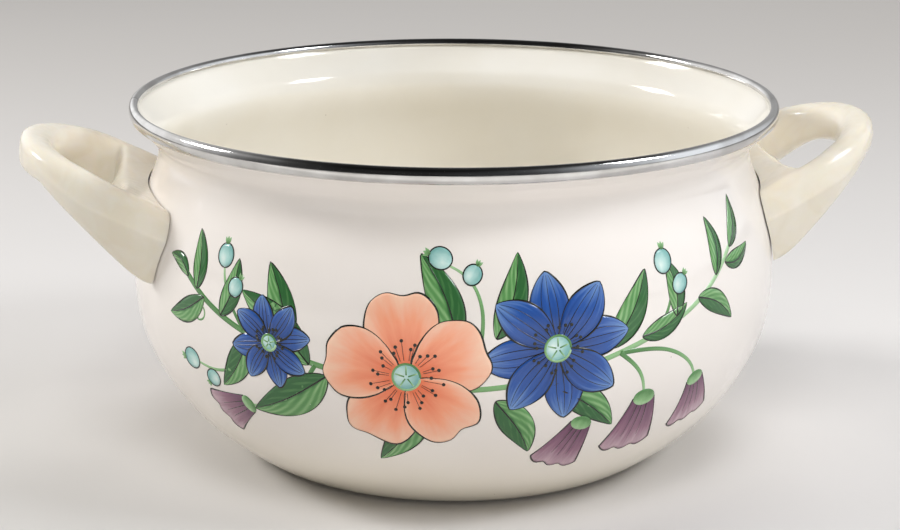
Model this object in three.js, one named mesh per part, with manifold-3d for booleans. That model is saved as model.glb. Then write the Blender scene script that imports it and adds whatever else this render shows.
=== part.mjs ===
// Two-handled enamelled steel stew pot with a rolled stainless rim band.
// Millimetres, +Z up, origin at the centre of the base; the handles lie along X, the front faces -Y.
import * as THREE from "three";
import { mergeVertices } from "three/addons/utils/BufferGeometryUtils.js";
import Module from "manifold-3d";

const wasm = await Module();
wasm.setup();

// Pot shell
const POT_H = 120.3;
const BELLY_R = 110.1;
const BELLY_Z = 61;
const WALL_T = 1.4;
const BASE_RING_R = 64;
const BASE_RING_W = 8;
const BASE_RING_INNER_R = BASE_RING_R - BASE_RING_W;
const BASE_HOLLOW = 0.8;
const NECK_IN = 9.4;
const NECK_R = BELLY_R - NECK_IN;
const LIP_H = 16.9;
const NECK_Z = POT_H - LIP_H;
const POT_SEGMENTS = 56;

// Rim band: a channel rolled down over the flared edge of the shell
const BAND_R = BELLY_R - 0.1;
const BAND_TOP_Z = POT_H;
const BAND_H = 5.2;
const BAND_W = 3.4;
const BAND_T = 0.7;
const BAND_INNER_LEG = 2.1;
const BAND_SEAM_ANGLE = 176;
const BAND_SEAM_GAP = 0.5;
const FIT = 0.3;

// Loop handle, in its own frame: x outward from the pot's axis, y along the pot's wall
const HANDLE_REACH = 36.3;
const HANDLE_TIP_R = BELLY_R + HANDLE_REACH;
const HANDLE_HALF_W = 42;
const HANDLE_ROOT_R = BELLY_R - 20.1;
const HANDLE_STRAIGHT_R = BELLY_R - 6.1;
const HANDLE_ROUND = 2.2;
const HANDLE_TOP_DROP = 9;
const HANDLE_TOP_Z = NECK_Z - HANDLE_TOP_DROP;
const HANDLE_TOP_SLOPE = 0.45;
const HANDLE_TOP_CROWN = 1.5;
const HANDLE_CROWN_R = BELLY_R + 7.9;
const HANDLE_DEPTH = 29.6;
const HANDLE_UNDER_Z = HANDLE_TOP_Z - HANDLE_DEPTH;
const HANDLE_UNDER_R = BELLY_R - 4.1;
const HANDLE_UNDER_SLOPE = 0.986;
const HANDLE_END_T = 12.5;
const HANDLE_PART_DROP = 10.5;
const HANDLE_TOP_INSET = 1.2;
const HANDLE_UNDER_DRAFT = 0.86;
const HANDLE_WALL_GAP = 0.5;
const BRIDGE_T = 8;
const OUTER_BAR_T = 11.9;
const GRIP_INNER_R = HANDLE_STRAIGHT_R + BRIDGE_T;
const GRIP_OUTER_R = HANDLE_TIP_R - OUTER_BAR_T;
const GRIP_CORNER_R = GRIP_INNER_R + 2.5;
const ARM_T = 12.5;
const GRIP_HALF_W = HANDLE_HALF_W - ARM_T;
const GRIP_LEAN = 11.5;
const GRIP_EDGE_LIFT = 7.5;
const BRIDGE_DROP = 3.5;
const BRIDGE_SLANT = 0.4;
// How far the rounding of each corner of the section runs back and ahead: the upper outer and inner corners,
// the lower inner and outer ones, and the parting line, which softens towards the tip
const CORNER_CUTS = [[8.5, 7], [6, 8], [4, 4], [4.5, 4.5], [1, 1]];
const BRIDGE_CUT = 4;
const TIP_CUT = 5;
const HANDLE_RINGS = 48;

// Bracket and fastener under each handle's bridge
const SCREW_LEAN = 20;
const SCREW_OUT = 6.27;
const SCREW_DROP = 8.9;
const SCREW_Z = HANDLE_TOP_Z - SCREW_DROP;
const SCREW_D = 4;
const SCREW_HEAD_D = 7;
const SCREW_HEAD_H = 2.6;
const SCREW_SLOT_W = 1.2;
const SCREW_SLOT_DEPTH = 1.1;
const SCREW_TAIL = 1.2;
const WASHER_T = 1.1;
const WASHER_D = 6.9;
const NUT_W = 7;
const NUT_T = 2.2;
const BRACKET_T = 1.5;
const BRACKET_PLATE_W = 26;
const BRACKET_PLATE_LOW_Z = SCREW_Z - 6;
const BRACKET_PLATE_HIGH_Z = SCREW_Z + 4.5;
const BRACKET_TONGUE_W = 13;
const BRIDGE_SEAT_T = 4;
const COUNTERBORE_DEPTH = 8;

const rad = THREE.MathUtils.degToRad;

// Colours and finishes of the photographed pieces
const enamel = new THREE.MeshStandardMaterial({ color: 0xf1e9dd, roughness: 0.12, metalness: 0 });
const stainless = new THREE.MeshStandardMaterial({ color: 0xc9c9c7, roughness: 0.2, metalness: 1 });
const phenolic = new THREE.MeshStandardMaterial({ color: 0xe6dcc2, roughness: 0.25, metalness: 0 });
const zinc = new THREE.MeshStandardMaterial({ color: 0xb4b6b8, roughness: 0.35, metalness: 1 });

// Solid helpers
function toSolid(geometry) {
  const bare = geometry.clone();
  bare.deleteAttribute("normal");
  bare.deleteAttribute("uv");
  const merged = mergeVertices(bare, 1e-4);
  return new wasm.Manifold(new wasm.Mesh({
    numProp: 3,
    vertProperties: new Float32Array(merged.attributes.position.array),
    triVerts: new Uint32Array(merged.index.array),
  }));
}

function toGeometry(solid) {
  const mesh = solid.getMesh();
  const geometry = new THREE.BufferGeometry();
  geometry.setAttribute("position", new THREE.BufferAttribute(mesh.vertProperties, 3));
  geometry.setIndex(new THREE.BufferAttribute(mesh.triVerts, 1));
  return geometry;
}

function box(x0, x1, y0, y1, z0, z1) {
  const geometry = new THREE.BoxGeometry(x1 - x0, y1 - y0, z1 - z0);
  geometry.translate((x0 + x1) / 2, (y0 + y1) / 2, (z0 + z1) / 2);
  return geometry;
}

function lathe(points, segments) {
  const geometry = new THREE.LatheGeometry(points, segments);
  geometry.rotateX(Math.PI / 2);
  return geometry;
}

function cylinder(radius, z0, z1, segments) {
  const v = (x, y) => new THREE.Vector2(x, y);
  return lathe([v(0, z1), v(radius, z1), v(radius, z0), v(0, z0)].reverse(), segments);
}

// A lathe profile moved sideways along its own normals; positive is outward
function offsetProfile(points, distance) {
  return points.map((p, i) => {
    const a = points[Math.max(0, i - 1)];
    const b = points[Math.min(points.length - 1, i + 1)];
    const along = new THREE.Vector2().subVectors(b, a).normalize();
    return new THREE.Vector2(p.x + along.y * distance, p.y - along.x * distance);
  });
}

// Outer profile of the shell from the edge of the base ring to the flared lip
const LIP_R = BAND_R - BAND_T - FIT;
const LIP_TOP_Z = BAND_TOP_Z - BAND_T - FIT;
const BAND_LOW_Z = BAND_TOP_Z - BAND_H;
// Shares of the way out and up: first from the base ring to the belly, then from the belly to the neck
const lowerShares = [
  [0, 0], [0.1481, 0.0074], [0.2222, 0.0311], [0.5033, 0.1934], [0.7669, 0.4262], [0.9521, 0.7131], [1, 1],
];
const upperShares = [[0.1064, 0.33], [0.4787, 0.66], [0.89, 0.884], [1, 1]];
// Shares of the way from the neck out to the lip's edge and up to the band's lower edge
const lipShares = [[0.114, 0.342], [0.367, 0.581], [0.753, 0.927], [0.904, 1.094], [1, 1.256]];
const LIP_OUT = LIP_R - NECK_R;
const LIP_RISE = BAND_LOW_Z - NECK_Z;
const bellyPoints = [
  ...lowerShares.map(([u, v]) => [BASE_RING_R + (BELLY_R - BASE_RING_R) * u, BELLY_Z * v]),
  ...upperShares.map(([u, v]) => [BELLY_R - NECK_IN * u, BELLY_Z + (NECK_Z - BELLY_Z) * v]),
  ...lipShares.map(([u, v]) => [NECK_R + LIP_OUT * u, NECK_Z + LIP_RISE * v]),
].map(([x, y]) => new THREE.Vector2(x, y));
const bellyCurve = new THREE.SplineCurve(bellyPoints);
const spanSteps = [1, 1, 2, 3, 3, 3, 2, 2, 2, 1, 1, 1, 1, 1, 1];
const outerWall = spanSteps.flatMap((steps, span) => Array.from({ length: steps }, (_, j) => {
  return bellyCurve.getPoint((span + j / steps) / spanSteps.length);
}));
outerWall.push(bellyPoints[bellyPoints.length - 1].clone());

// Radius of the outer wall at a height between the belly and the neck
function wallRadius(z) {
  const above = outerWall.findIndex((p) => p.y >= z);
  const a = outerWall[above - 1];
  const b = outerWall[above];
  return a.x + ((b.x - a.x) * (z - a.y)) / (b.y - a.y);
}

const SCREW_R = wallRadius(SCREW_Z) + SCREW_OUT;

function potBody() {
  const inner = offsetProfile(outerWall, -WALL_T);
  const floorZ = inner[0].y;
  const profile = [
    new THREE.Vector2(0, BASE_HOLLOW),
    new THREE.Vector2(BASE_RING_INNER_R - 4, BASE_HOLLOW),
    new THREE.Vector2(BASE_RING_INNER_R, 0),
    ...outerWall,
    new THREE.Vector2(LIP_R - 0.2, LIP_TOP_Z - 0.4),
    new THREE.Vector2(LIP_R - 0.5, LIP_TOP_Z),
    new THREE.Vector2(LIP_R - WALL_T + 0.3, LIP_TOP_Z),
    ...inner.reverse(),
    new THREE.Vector2(BASE_RING_INNER_R, floorZ),
    new THREE.Vector2(BASE_RING_INNER_R - 4, floorZ + BASE_HOLLOW),
    new THREE.Vector2(0, floorZ + BASE_HOLLOW),
  ];
  return lathe(profile, POT_SEGMENTS);
}

function rimBand() {
  const t = BAND_TOP_Z;
  const inR = BAND_R - BAND_W;
  const section = [
    [BAND_R - 1.3, BAND_LOW_Z],
    [BAND_R - 0.4, BAND_LOW_Z + 0.8],
    [BAND_R, BAND_LOW_Z + BAND_H * 0.48],
    [BAND_R - 0.35, t - 1.1],
    [BAND_R - 1.4, t],
    [inR + 1.2, t],
    [inR + 0.1, t - 0.8],
    [inR, t - BAND_INNER_LEG],
    [inR + BAND_T, t - BAND_INNER_LEG],
    [inR + BAND_T + 0.3, t - BAND_T],
    [BAND_R - BAND_T - 0.5, t - BAND_T],
    [BAND_R - BAND_T, t - 1.5],
    [BAND_R - BAND_T, BAND_LOW_Z + 1.4],
    [BAND_R - 1.6, BAND_LOW_Z + 0.3],
  ].map(([x, y]) => new THREE.Vector2(x, y));
  section.push(section[0].clone());
  const ring = toSolid(lathe(section, POT_SEGMENTS));
  const slit = box(inR - 2, BAND_R + 2, -BAND_SEAM_GAP / 2, BAND_SEAM_GAP / 2, BAND_LOW_Z - 1, t + 1);
  slit.rotateZ(rad(BAND_SEAM_ANGLE));
  return toGeometry(ring.subtract(toSolid(slit)));
}

// Solid of revolution filling the pot out to a given distance from its outer wall
function wallFill(distance) {
  const out = offsetProfile(outerWall.filter((p) => p.y > BELLY_Z / 3 && p.y < NECK_Z + FIT), distance);
  const low = out[0].y;
  const high = out[out.length - 1].y;
  return toSolid(lathe([new THREE.Vector2(0, low), ...out, new THREE.Vector2(0, high)], POT_SEGMENTS * 2));
}

// Loop handle
function handleTop(r) {
  const crown = HANDLE_TOP_CROWN * (1 - ((r - HANDLE_CROWN_R) / 24) ** 2);
  return HANDLE_TOP_Z + HANDLE_TOP_SLOPE * (r - HANDLE_STRAIGHT_R) + crown;
}

function handleUnder(r, t) {
  const slope = HANDLE_UNDER_Z + HANDLE_UNDER_SLOPE * (r - HANDLE_UNDER_R);
  const sag = 15 * Math.max(0, 1 - (t / (HANDLE_HALF_W - 7)) ** 2);
  const land = r < HANDLE_STRAIGHT_R ? HANDLE_UNDER_Z - sag : HANDLE_UNDER_Z;
  const soft = 2.5;
  const line = soft * Math.log(Math.exp((slope - land) / soft) + 1) + land;
  return Math.min(line, handleTop(r) - HANDLE_END_T);
}

function insideOutline(r, t) {
  if (r < HANDLE_ROOT_R) return false;
  if (r < HANDLE_STRAIGHT_R) return Math.abs(t) < HANDLE_HALF_W;
  const u = (r - HANDLE_STRAIGHT_R) / (HANDLE_TIP_R - HANDLE_STRAIGHT_R);
  return u ** HANDLE_ROUND + (Math.abs(t) / HANDLE_HALF_W) ** HANDLE_ROUND < 1;
}

const GRIP_MID_R = (GRIP_INNER_R + GRIP_OUTER_R) / 2;

function insideGrip(r, t) {
  const inward = r < GRIP_CORNER_R;
  const u = (r - GRIP_CORNER_R) / ((inward ? GRIP_INNER_R : GRIP_OUTER_R) - GRIP_CORNER_R);
  const n = inward ? 3 : 1.9;
  return u ** n + (Math.abs(t) / GRIP_HALF_W) ** n < 1;
}

// Point where a ray from the middle of the finger opening leaves a region
function leave(inside, angle) {
  let near = 0;
  let far = 80;
  for (let i = 0; i < 40; i += 1) {
    const mid = (near + far) / 2;
    if (inside(GRIP_MID_R + mid * Math.cos(angle), mid * Math.sin(angle))) near = mid;
    else far = mid;
  }
  return [GRIP_MID_R + near * Math.cos(angle), near * Math.sin(angle)];
}

// A closed ring through corners that are rounded by a curve from one edge to the next
function roundedRing(corners, cuts) {
  const next = (i) => (i + 1) % corners.length;
  const last = (i) => (i + corners.length - 1) % corners.length;
  const fits = corners.map((p, i) => {
    const room = 0.96 * p.distanceTo(corners[next(i)]);
    return Math.min(1, room / (cuts[i][1] + cuts[next(i)][0]));
  });
  return corners.flatMap((p, i) => {
    const before = corners[last(i)];
    const after = corners[next(i)];
    const start = p.clone().lerp(before, (cuts[i][0] * fits[last(i)]) / p.distanceTo(before));
    const end = p.clone().lerp(after, (cuts[i][1] * fits[i]) / p.distanceTo(after));
    return new THREE.QuadraticBezierCurve3(start, p, end).getPoints(3);
  });
}

// One cross-section of the loop: five corners, rounded
function handleSection(angle) {
  const c = Math.cos(angle);
  const [or, ot] = leave(insideOutline, angle);
  const [ir, it] = leave(insideGrip, angle);
  const lean = c < 0 ? -c * GRIP_LEAN : c * 1.5;
  const lift = c < 0 ? 2 + (GRIP_EDGE_LIFT - 2) * (1 + c) : 4 + (GRIP_EDGE_LIFT - 4) * (1 - c);
  const inset = 1 - HANDLE_TOP_INSET / Math.hypot(or - GRIP_MID_R, ot);
  const tr = GRIP_MID_R + (or - GRIP_MID_R) * inset;
  const under = handleUnder(or, ot);
  const part = Math.max(handleTop(or) - HANDLE_PART_DROP, (handleTop(or) + under) / 2);
  const drop = BRIDGE_DROP * Math.max(0, -c);
  const corners = [
    new THREE.Vector3(tr, ot * inset, handleTop(tr)),
    new THREE.Vector3(ir + BRIDGE_SLANT * drop, it, handleTop(ir) - drop),
    new THREE.Vector3(ir + lean, it * 0.97, handleUnder(ir + lean, HANDLE_HALF_W) + lift),
    new THREE.Vector3(or, ot * HANDLE_UNDER_DRAFT, under),
    new THREE.Vector3(or, ot, part),
  ];
  const cuts = CORNER_CUTS.map((pair) => [...pair]);
  cuts[1][1] -= BRIDGE_CUT * Math.max(0, -c);
  cuts[4] = cuts[4].map((cut) => cut + TIP_CUT * Math.max(0, c) ** 2);
  return roundedRing(corners, cuts);
}

// Angles spread evenly along the outer outline
function handleAngles(count) {
  const steps = 1440;
  const lengths = [0];
  let last = leave(insideOutline, -Math.PI);
  for (let i = 1; i <= steps; i += 1) {
    const next = leave(insideOutline, -Math.PI + (2 * Math.PI * i) / steps);
    lengths.push(lengths[i - 1] + Math.hypot(next[0] - last[0], next[1] - last[1]));
    last = next;
  }
  const total = lengths[steps];
  return Array.from({ length: count }, (_, k) => {
    const want = (total * k) / count;
    const i = Math.max(1, lengths.findIndex((v) => v >= want));
    const f = (want - lengths[i - 1]) / (lengths[i] - lengths[i - 1]);
    return -Math.PI + (2 * Math.PI * (i - 1 + Math.max(0, f))) / steps;
  });
}

function handleLoop() {
  const rings = handleAngles(HANDLE_RINGS).map(handleSection);
  const size = rings[0].length;
  const positions = rings.flat().flatMap((p) => [p.x, p.y, p.z]);
  const index = [];
  rings.forEach((_, i) => {
    const j = (i + 1) % rings.length;
    for (let k = 0; k < size; k += 1) {
      const l = (k + 1) % size;
      const a = i * size + k;
      const b = j * size + k;
      const c = j * size + l;
      const d = i * size + l;
      index.push(a, b, d, b, c, d);
    }
  });
  const geometry = new THREE.BufferGeometry();
  geometry.setAttribute("position", new THREE.Float32BufferAttribute(positions, 3));
  geometry.setIndex(index);
  return geometry;
}

// Heights along the leaning screw axis, measured from its middle point
const TONGUE_LOW = 0.8;
const TONGUE_HIGH = TONGUE_LOW + BRACKET_T;
const NUT_LOW = TONGUE_HIGH + FIT;
const NUT_HIGH = NUT_LOW + NUT_T;
const SCREW_END = NUT_HIGH + SCREW_TAIL;
const SEAT = TONGUE_LOW - FIT - BRIDGE_SEAT_T;
const WASHER_HIGH = SEAT - FIT;
const WASHER_LOW = WASHER_HIGH - WASHER_T;
const HEAD_HIGH = WASHER_LOW - FIT;
const HEAD_LOW = HEAD_HIGH - SCREW_HEAD_H;
const TONGUE_REACH = NUT_W / 2 + 0.2;

function onScrewAxis(geometry) {
  geometry.rotateY(-rad(SCREW_LEAN));
  geometry.translate(SCREW_R, 0, SCREW_Z);
  return geometry;
}

function bracket(extra) {
  const half = BRACKET_PLATE_W / 2 + extra;
  const low = BRACKET_PLATE_LOW_Z - extra;
  const high = BRACKET_PLATE_HIGH_Z + extra;
  const shell = wallFill(FIT + BRACKET_T + extra).subtract(wallFill(FIT));
  const plate = shell.intersect(toSolid(box(NECK_R - 20, SCREW_R + 12, -half, half, low, high)));
  const side = BRACKET_TONGUE_W / 2 + extra;
  const top = extra > 0 ? NUT_HIGH + extra : TONGUE_HIGH;
  const tongue = toSolid(onScrewAxis(box(-12, TONGUE_REACH + extra, -side, side, TONGUE_LOW - extra, top)));
  return plate.add(tongue.subtract(wallFill(FIT + BRACKET_T * 0.4)));
}

function handleBody() {
  const bore = toSolid(onScrewAxis(cylinder(SCREW_D / 2 + FIT, SEAT - 1, SCREW_END + FIT, 20)));
  const sink = toSolid(onScrewAxis(cylinder(SCREW_HEAD_D / 2 + 2 * FIT, SEAT - COUNTERBORE_DEPTH - 8, SEAT, 24)));
  return toSolid(handleLoop())
    .subtract(wallFill(HANDLE_WALL_GAP))
    .subtract(bracket(FIT))
    .subtract(bore)
    .subtract(sink);
}

function bracketBody() {
  const hole = toSolid(onScrewAxis(cylinder(SCREW_D / 2 + FIT, TONGUE_LOW - 2, TONGUE_HIGH + 2, 20)));
  return bracket(0).subtract(hole);
}

function screwBody() {
  const r = SCREW_D / 2;
  const h = SCREW_HEAD_D / 2;
  const profile = [
    [0, HEAD_LOW],
    [h - 0.5, HEAD_LOW],
    [h, HEAD_LOW + 0.5],
    [h, HEAD_HIGH],
    [r, HEAD_HIGH],
    [r, SCREW_END - 0.5],
    [r - 0.5, SCREW_END],
    [0, SCREW_END],
  ].map(([x, y]) => new THREE.Vector2(x, y));
  const slot = box(-h - 1, h + 1, -SCREW_SLOT_W / 2, SCREW_SLOT_W / 2, HEAD_LOW - 1, HEAD_LOW + SCREW_SLOT_DEPTH);
  return toSolid(onScrewAxis(lathe(profile, 16))).subtract(toSolid(onScrewAxis(slot)));
}

function washerBody() {
  const inner = SCREW_D / 2 + FIT;
  const outer = WASHER_D / 2;
  const section = [[inner, WASHER_LOW], [outer, WASHER_LOW], [outer, WASHER_HIGH], [inner, WASHER_HIGH], [inner, WASHER_LOW]];
  const ring = lathe(section.map(([x, y]) => new THREE.Vector2(x, y)), 20);
  const split = box(inner - 1, outer + 1, -0.3, 0.3, WASHER_LOW - 1, WASHER_HIGH + 1);
  return toSolid(onScrewAxis(ring)).subtract(toSolid(onScrewAxis(split)));
}

function nutBody() {
  const h = NUT_W / 2;
  const shape = new THREE.Shape([[-h, -h], [h, -h], [h, h], [-h, h]].map(([x, y]) => new THREE.Vector2(x, y)));
  const bore = new THREE.Path();
  bore.absarc(0, 0, SCREW_D / 2 + FIT, 0, 2 * Math.PI, true);
  shape.holes.push(bore);
  const plate = new THREE.ExtrudeGeometry(shape, { depth: NUT_T, bevelEnabled: false, curveSegments: 8 });
  plate.translate(0, 0, NUT_LOW);
  return toSolid(onScrewAxis(plate));
}

const pot = new THREE.Group();

function add(name, geometry, material) {
  const mesh = new THREE.Mesh(geometry, material);
  mesh.name = name;
  pot.add(mesh);
}

// The two handle sets are the same set turned half a turn about the pot's axis
function addPair(name, solid, material) {
  const right = toGeometry(solid);
  add(`${name}_right`, right, material);
  add(`${name}_left`, right.clone().rotateZ(Math.PI), material);
}

add("pot_body", potBody(), enamel);
add("rim_band", rimBand(), stainless);
addPair("handle", handleBody(), phenolic);
addPair("handle_bracket", bracketBody(), zinc);
addPair("handle_screw", screwBody(), zinc);
addPair("lock_washer", washerBody(), zinc);
addPair("square_nut", nutBody(), zinc);

export default pot;
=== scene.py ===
"""Looks of a two-handled enamelled steel stew pot with a rolled stainless rim band.

Sizes in the classes are millimetres; meshes are metres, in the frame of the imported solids:
+Z up, the handles along X, the front facing -Y.
"""

import logging
import math
from dataclasses import dataclass, field
from enum import Enum
from typing import Any, Callable, Sequence

import bpy
import numpy as np
from mathutils import Matrix, Vector

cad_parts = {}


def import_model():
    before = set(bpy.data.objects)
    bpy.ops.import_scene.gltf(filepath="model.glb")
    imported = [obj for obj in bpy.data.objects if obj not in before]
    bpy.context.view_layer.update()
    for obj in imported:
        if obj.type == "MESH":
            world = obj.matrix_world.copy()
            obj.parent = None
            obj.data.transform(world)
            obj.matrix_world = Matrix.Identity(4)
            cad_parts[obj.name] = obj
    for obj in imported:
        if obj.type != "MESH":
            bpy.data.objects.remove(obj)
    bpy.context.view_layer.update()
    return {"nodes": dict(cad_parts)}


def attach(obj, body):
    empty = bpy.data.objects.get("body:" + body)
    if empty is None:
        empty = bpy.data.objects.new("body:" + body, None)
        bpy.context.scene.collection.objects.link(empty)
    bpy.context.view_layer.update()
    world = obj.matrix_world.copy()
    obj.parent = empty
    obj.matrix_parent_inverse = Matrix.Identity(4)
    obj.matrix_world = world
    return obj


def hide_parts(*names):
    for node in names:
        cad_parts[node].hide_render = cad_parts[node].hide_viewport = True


LOG = logging.getLogger("stew_pot")
MM = 0.001
BODY = "root"
GOLDEN = 0.618
Array = np.ndarray
Colour = tuple[float, float, float, float]
Span = tuple[float, float]
Piece = bpy.types.Object
Tree = bpy.types.NodeTree
Socket = bpy.types.NodeSocket


def linear(code: str) -> Colour:
    """Turns an sRGB hex colour into linear RGBA.

    Args:
        code: the colour, such as "#F2E9DF".

    Returns:
        Linear red, green and blue, with alpha 1.
    """
    channels = [int(code[i:i + 2], 16) / 255 for i in (1, 3, 5)]
    red, green, blue = [c / 12.92 if c <= 0.04045 else ((c + 0.055) / 1.055) ** 2.4 for c in channels]
    return red, green, blue, 1.0


def add_node(tree: Tree, kind: str, inputs: dict | None = None, output: int | str = 0,
             **settings: Any) -> Any:
    """Adds one node with its settings and links.

    Args:
        tree: the shader or geometry tree.
        kind: Blender's name of the node type.
        inputs: a value, or the socket to link, for each input by name or number.
        output: the output to hand back, by name or number.
        settings: the node's properties; "stops" are a ramp's (place, colour) pairs.

    Returns:
        The output socket, or None where the node has none.
    """
    node = tree.nodes.new(kind)
    stops = settings.pop("stops", ())
    if stops:
        elements = node.color_ramp.elements
        while len(elements) < len(stops):
            elements.new(1.0)
        for element, (place, code) in zip(elements, stops):
            element.position = place
            element.color = linear(code)
    for key, value in settings.items():
        setattr(node, key, value)
    for key, value in (inputs or {}).items():
        if isinstance(value, Socket):
            tree.links.new(value, node.inputs[key])
        else:
            node.inputs[key].default_value = value
    return node.outputs[output] if len(node.outputs) else None


def calculate(tree: Tree, operation: str, *values: Any) -> Socket:
    """Adds a maths node; each value is a number or a socket."""
    return add_node(tree, "ShaderNodeMath", dict(enumerate(values)), operation=operation)


def remap(tree: Tree, value: Socket, span: Span, result: Span = (0.0, 1.0), smooth: bool = False) -> Socket:
    """Maps a span of a value to another range, held at both ends."""
    limits = dict(zip(("From Min", "From Max", "To Min", "To Max"), (*span, *result)))
    return add_node(tree, "ShaderNodeMapRange", {"Value": value, **limits},
                    interpolation_type="SMOOTHSTEP" if smooth else "LINEAR")


def axes_of(tree: Tree, place: Socket) -> Any:
    """Splits coordinates into x, y and z."""
    return add_node(tree, "ShaderNodeSeparateXYZ", {0: place}).node.outputs


def spin(tree: Tree, place: Socket, angle: Any) -> Socket:
    """Turns coordinates about Z by an angle in radians, a number or a socket."""
    return add_node(tree, "ShaderNodeVectorRotate", {"Vector": place, "Angle": angle}, rotation_type="Z_AXIS")


def object_place(tree: Tree) -> Socket:
    """The object's own coordinates."""
    return add_node(tree, "ShaderNodeTexCoord", output="Object")


def own_map(tree: Tree) -> Socket:
    """The piece's own map."""
    return add_node(tree, "ShaderNodeUVMap", uv_map="UVMap")


def cells(size_mm: float) -> float:
    """Texture scale at which one cell of a pattern measures size_mm on the object."""
    return 1.0 / (size_mm * MM)


def noise(tree: Tree, place: Socket, scale: float, detail: float, **more: float) -> Socket:
    """Adds cloudy noise."""
    return add_node(tree, "ShaderNodeTexNoise", {"Vector": place, "Scale": scale, "Detail": detail, **more})


def ramp(tree: Tree, value: Socket, *stops: tuple[float, str]) -> Socket:
    """Turns a value into a colour by (place, colour) stops."""
    return add_node(tree, "ShaderNodeValToRGB", {0: value}, stops=stops)


def tint(tree: Tree, share: Socket, colour: Socket, code: str) -> Socket:
    """Mixes a share of a written colour into a colour."""
    return add_node(tree, "ShaderNodeMix", {0: share, 6: colour, 7: linear(code)}, 2, data_type="RGBA")


def relief(tree: Tree, height: Socket, depth_mm: float) -> Socket:
    """Makes a normal from a height that is depth_mm deep."""
    return add_node(tree, "ShaderNodeBump", {"Height": height, "Distance": depth_mm * MM})


@dataclass(frozen=True)
class Finish:
    """A finish; each kind says what its material gives the eye."""

    name: str

    def look(self, tree: Tree) -> dict[str, Any]:
        """Values and sockets of the principled shader's inputs, by name."""
        raise NotImplementedError

    def material(self) -> bpy.types.Material:
        """Builds the material: the look on one principled shader."""
        material = bpy.data.materials.new(self.name)
        material.use_nodes = True
        tree = material.node_tree
        tree.nodes.clear()
        shader = add_node(tree, "ShaderNodeBsdfPrincipled", self.look(tree))
        add_node(tree, "ShaderNodeOutputMaterial", {"Surface": shader})
        return material


@dataclass(frozen=True)
class Enamel(Finish):
    """Vitreous enamel: glass fired on steel, a hard clear gloss over a faintly waved, clouded ground."""

    ground: str
    cloud: str
    # Painted shade: a warmer, darker tone that the ground turns to toward the foot
    foot_shade: str
    speck: str = "#8A7A66"
    roughness: float = 0.1
    foot_shade_mm: float = 42.0
    cloud_mm: float = 38.0
    wave_mm: float = 9.0
    wave_depth_mm: float = 0.012
    speck_mm: float = 11.0
    speck_share: float = 0.012

    def look(self, tree: Tree) -> dict[str, Any]:
        """Clouded ground with painted shade, warmer and darker toward the foot, pin specks, and a wave in the
        gloss.
        """
        place = object_place(tree)
        clouds = noise(tree, place, cells(self.cloud_mm), 3.0)
        ground = ramp(tree, clouds, (0.35, self.cloud), (0.65, self.ground))
        # Painted shade: the colour turns to the foot tone toward the bottom
        low = remap(tree, axes_of(tree, place)[2], (0.0, self.foot_shade_mm * MM), (1.0, 0.0), True)
        foot_shaded = tint(tree, low, ground, self.foot_shade)
        spread = {"Vector": place, "Scale": cells(self.speck_mm)}
        pins = add_node(tree, "ShaderNodeTexVoronoi", spread, "Distance")
        speck = remap(tree, pins, (self.speck_share, self.speck_share * 1.8), (0.75, 0.0))
        wave = noise(tree, place, cells(self.wave_mm), 1.0)
        return {"IOR": 1.52, "Roughness": self.roughness, "Base Color": tint(tree, speck, foot_shaded, self.speck),
                "Normal": relief(tree, wave, self.wave_depth_mm)}


@dataclass(frozen=True)
class RolledStainless(Finish):
    """Polished stainless strip: a bright mirror with fine rub marks along the roll and a few dull spots."""

    name: str = "rolled_stainless"
    colour: str = "#DBDAD9"
    dull: str = "#C3C1BF"
    # The real rub lines are about 0.1 mm apart; they are drawn coarser so that they show
    line_mm: float = 0.45
    line_length_mm: float = 22.0
    line_depth_mm: float = 0.01
    spot_mm: float = 16.0

    def look(self, tree: Tree) -> dict[str, Any]:
        """Rub lines and dull spots, by the band's own map: u runs along the band, v across it, in metres."""
        drawn = (cells(self.line_length_mm), cells(self.line_mm), 1.0)
        stretched = add_node(tree, "ShaderNodeMapping", {"Vector": own_map(tree), "Scale": drawn})
        lines = noise(tree, stretched, 1.0, 4.0)
        spots = noise(tree, object_place(tree), cells(self.spot_mm), 4.0)
        return {"Metallic": 1.0, "Base Color": ramp(tree, spots, (0.38, self.dull), (0.6, self.colour)),
                "Roughness": remap(tree, lines, (0.3, 0.75), (0.05, 0.16)),
                "Normal": relief(tree, lines, self.line_depth_mm)}


@dataclass(frozen=True)
class UreaResin(Finish):
    """Moulded urea resin: a dense cream plastic with a warm depth, a soft gloss and faint flow clouds."""

    name: str = "urea_resin"
    colour: str = "#EFE8D9"
    flow: str = "#EBE2CF"
    flow_mm: float = 14.0
    depth_mm: float = 2.5
    rub_mm: float = 2.5
    rub_depth_mm: float = 0.012

    def look(self, tree: Tree) -> dict[str, Any]:
        """Flow clouds in the colour, a little light under the skin, a hand-worn gloss."""
        place = object_place(tree)
        flow = noise(tree, place, cells(self.flow_mm), 4.0, Distortion=1.2)
        rub = noise(tree, place, cells(self.rub_mm), 5.0)
        return {"IOR": 1.54, "Subsurface Weight": 0.25, "Subsurface Radius": (1.0, 0.8, 0.45),
                "Subsurface Scale": self.depth_mm * MM,
                "Base Color": ramp(tree, flow, (0.35, self.flow), (0.62, self.colour)),
                "Roughness": remap(tree, rub, (0.3, 0.7), (0.14, 0.26)),
                "Normal": relief(tree, rub, self.rub_depth_mm)}


@dataclass(frozen=True)
class ZincPlate(Finish):
    """Bright zinc plating on small steel parts: a cool grey metal, mottled and slightly dull."""

    name: str = "zinc_plate"
    colour: str = "#B9BCBF"
    stain: str = "#8F9294"
    stain_mm: float = 3.0

    def look(self, tree: Tree) -> dict[str, Any]:
        """Mottled grey metal whose dull patches are also rougher."""
        stain = noise(tree, object_place(tree), cells(self.stain_mm), 5.0)
        return {"Metallic": 1.0, "Base Color": ramp(tree, stain, (0.35, self.stain), (0.65, self.colour)),
                "Roughness": remap(tree, stain, (0.0, 1.0), (0.5, 0.25))}


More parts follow.
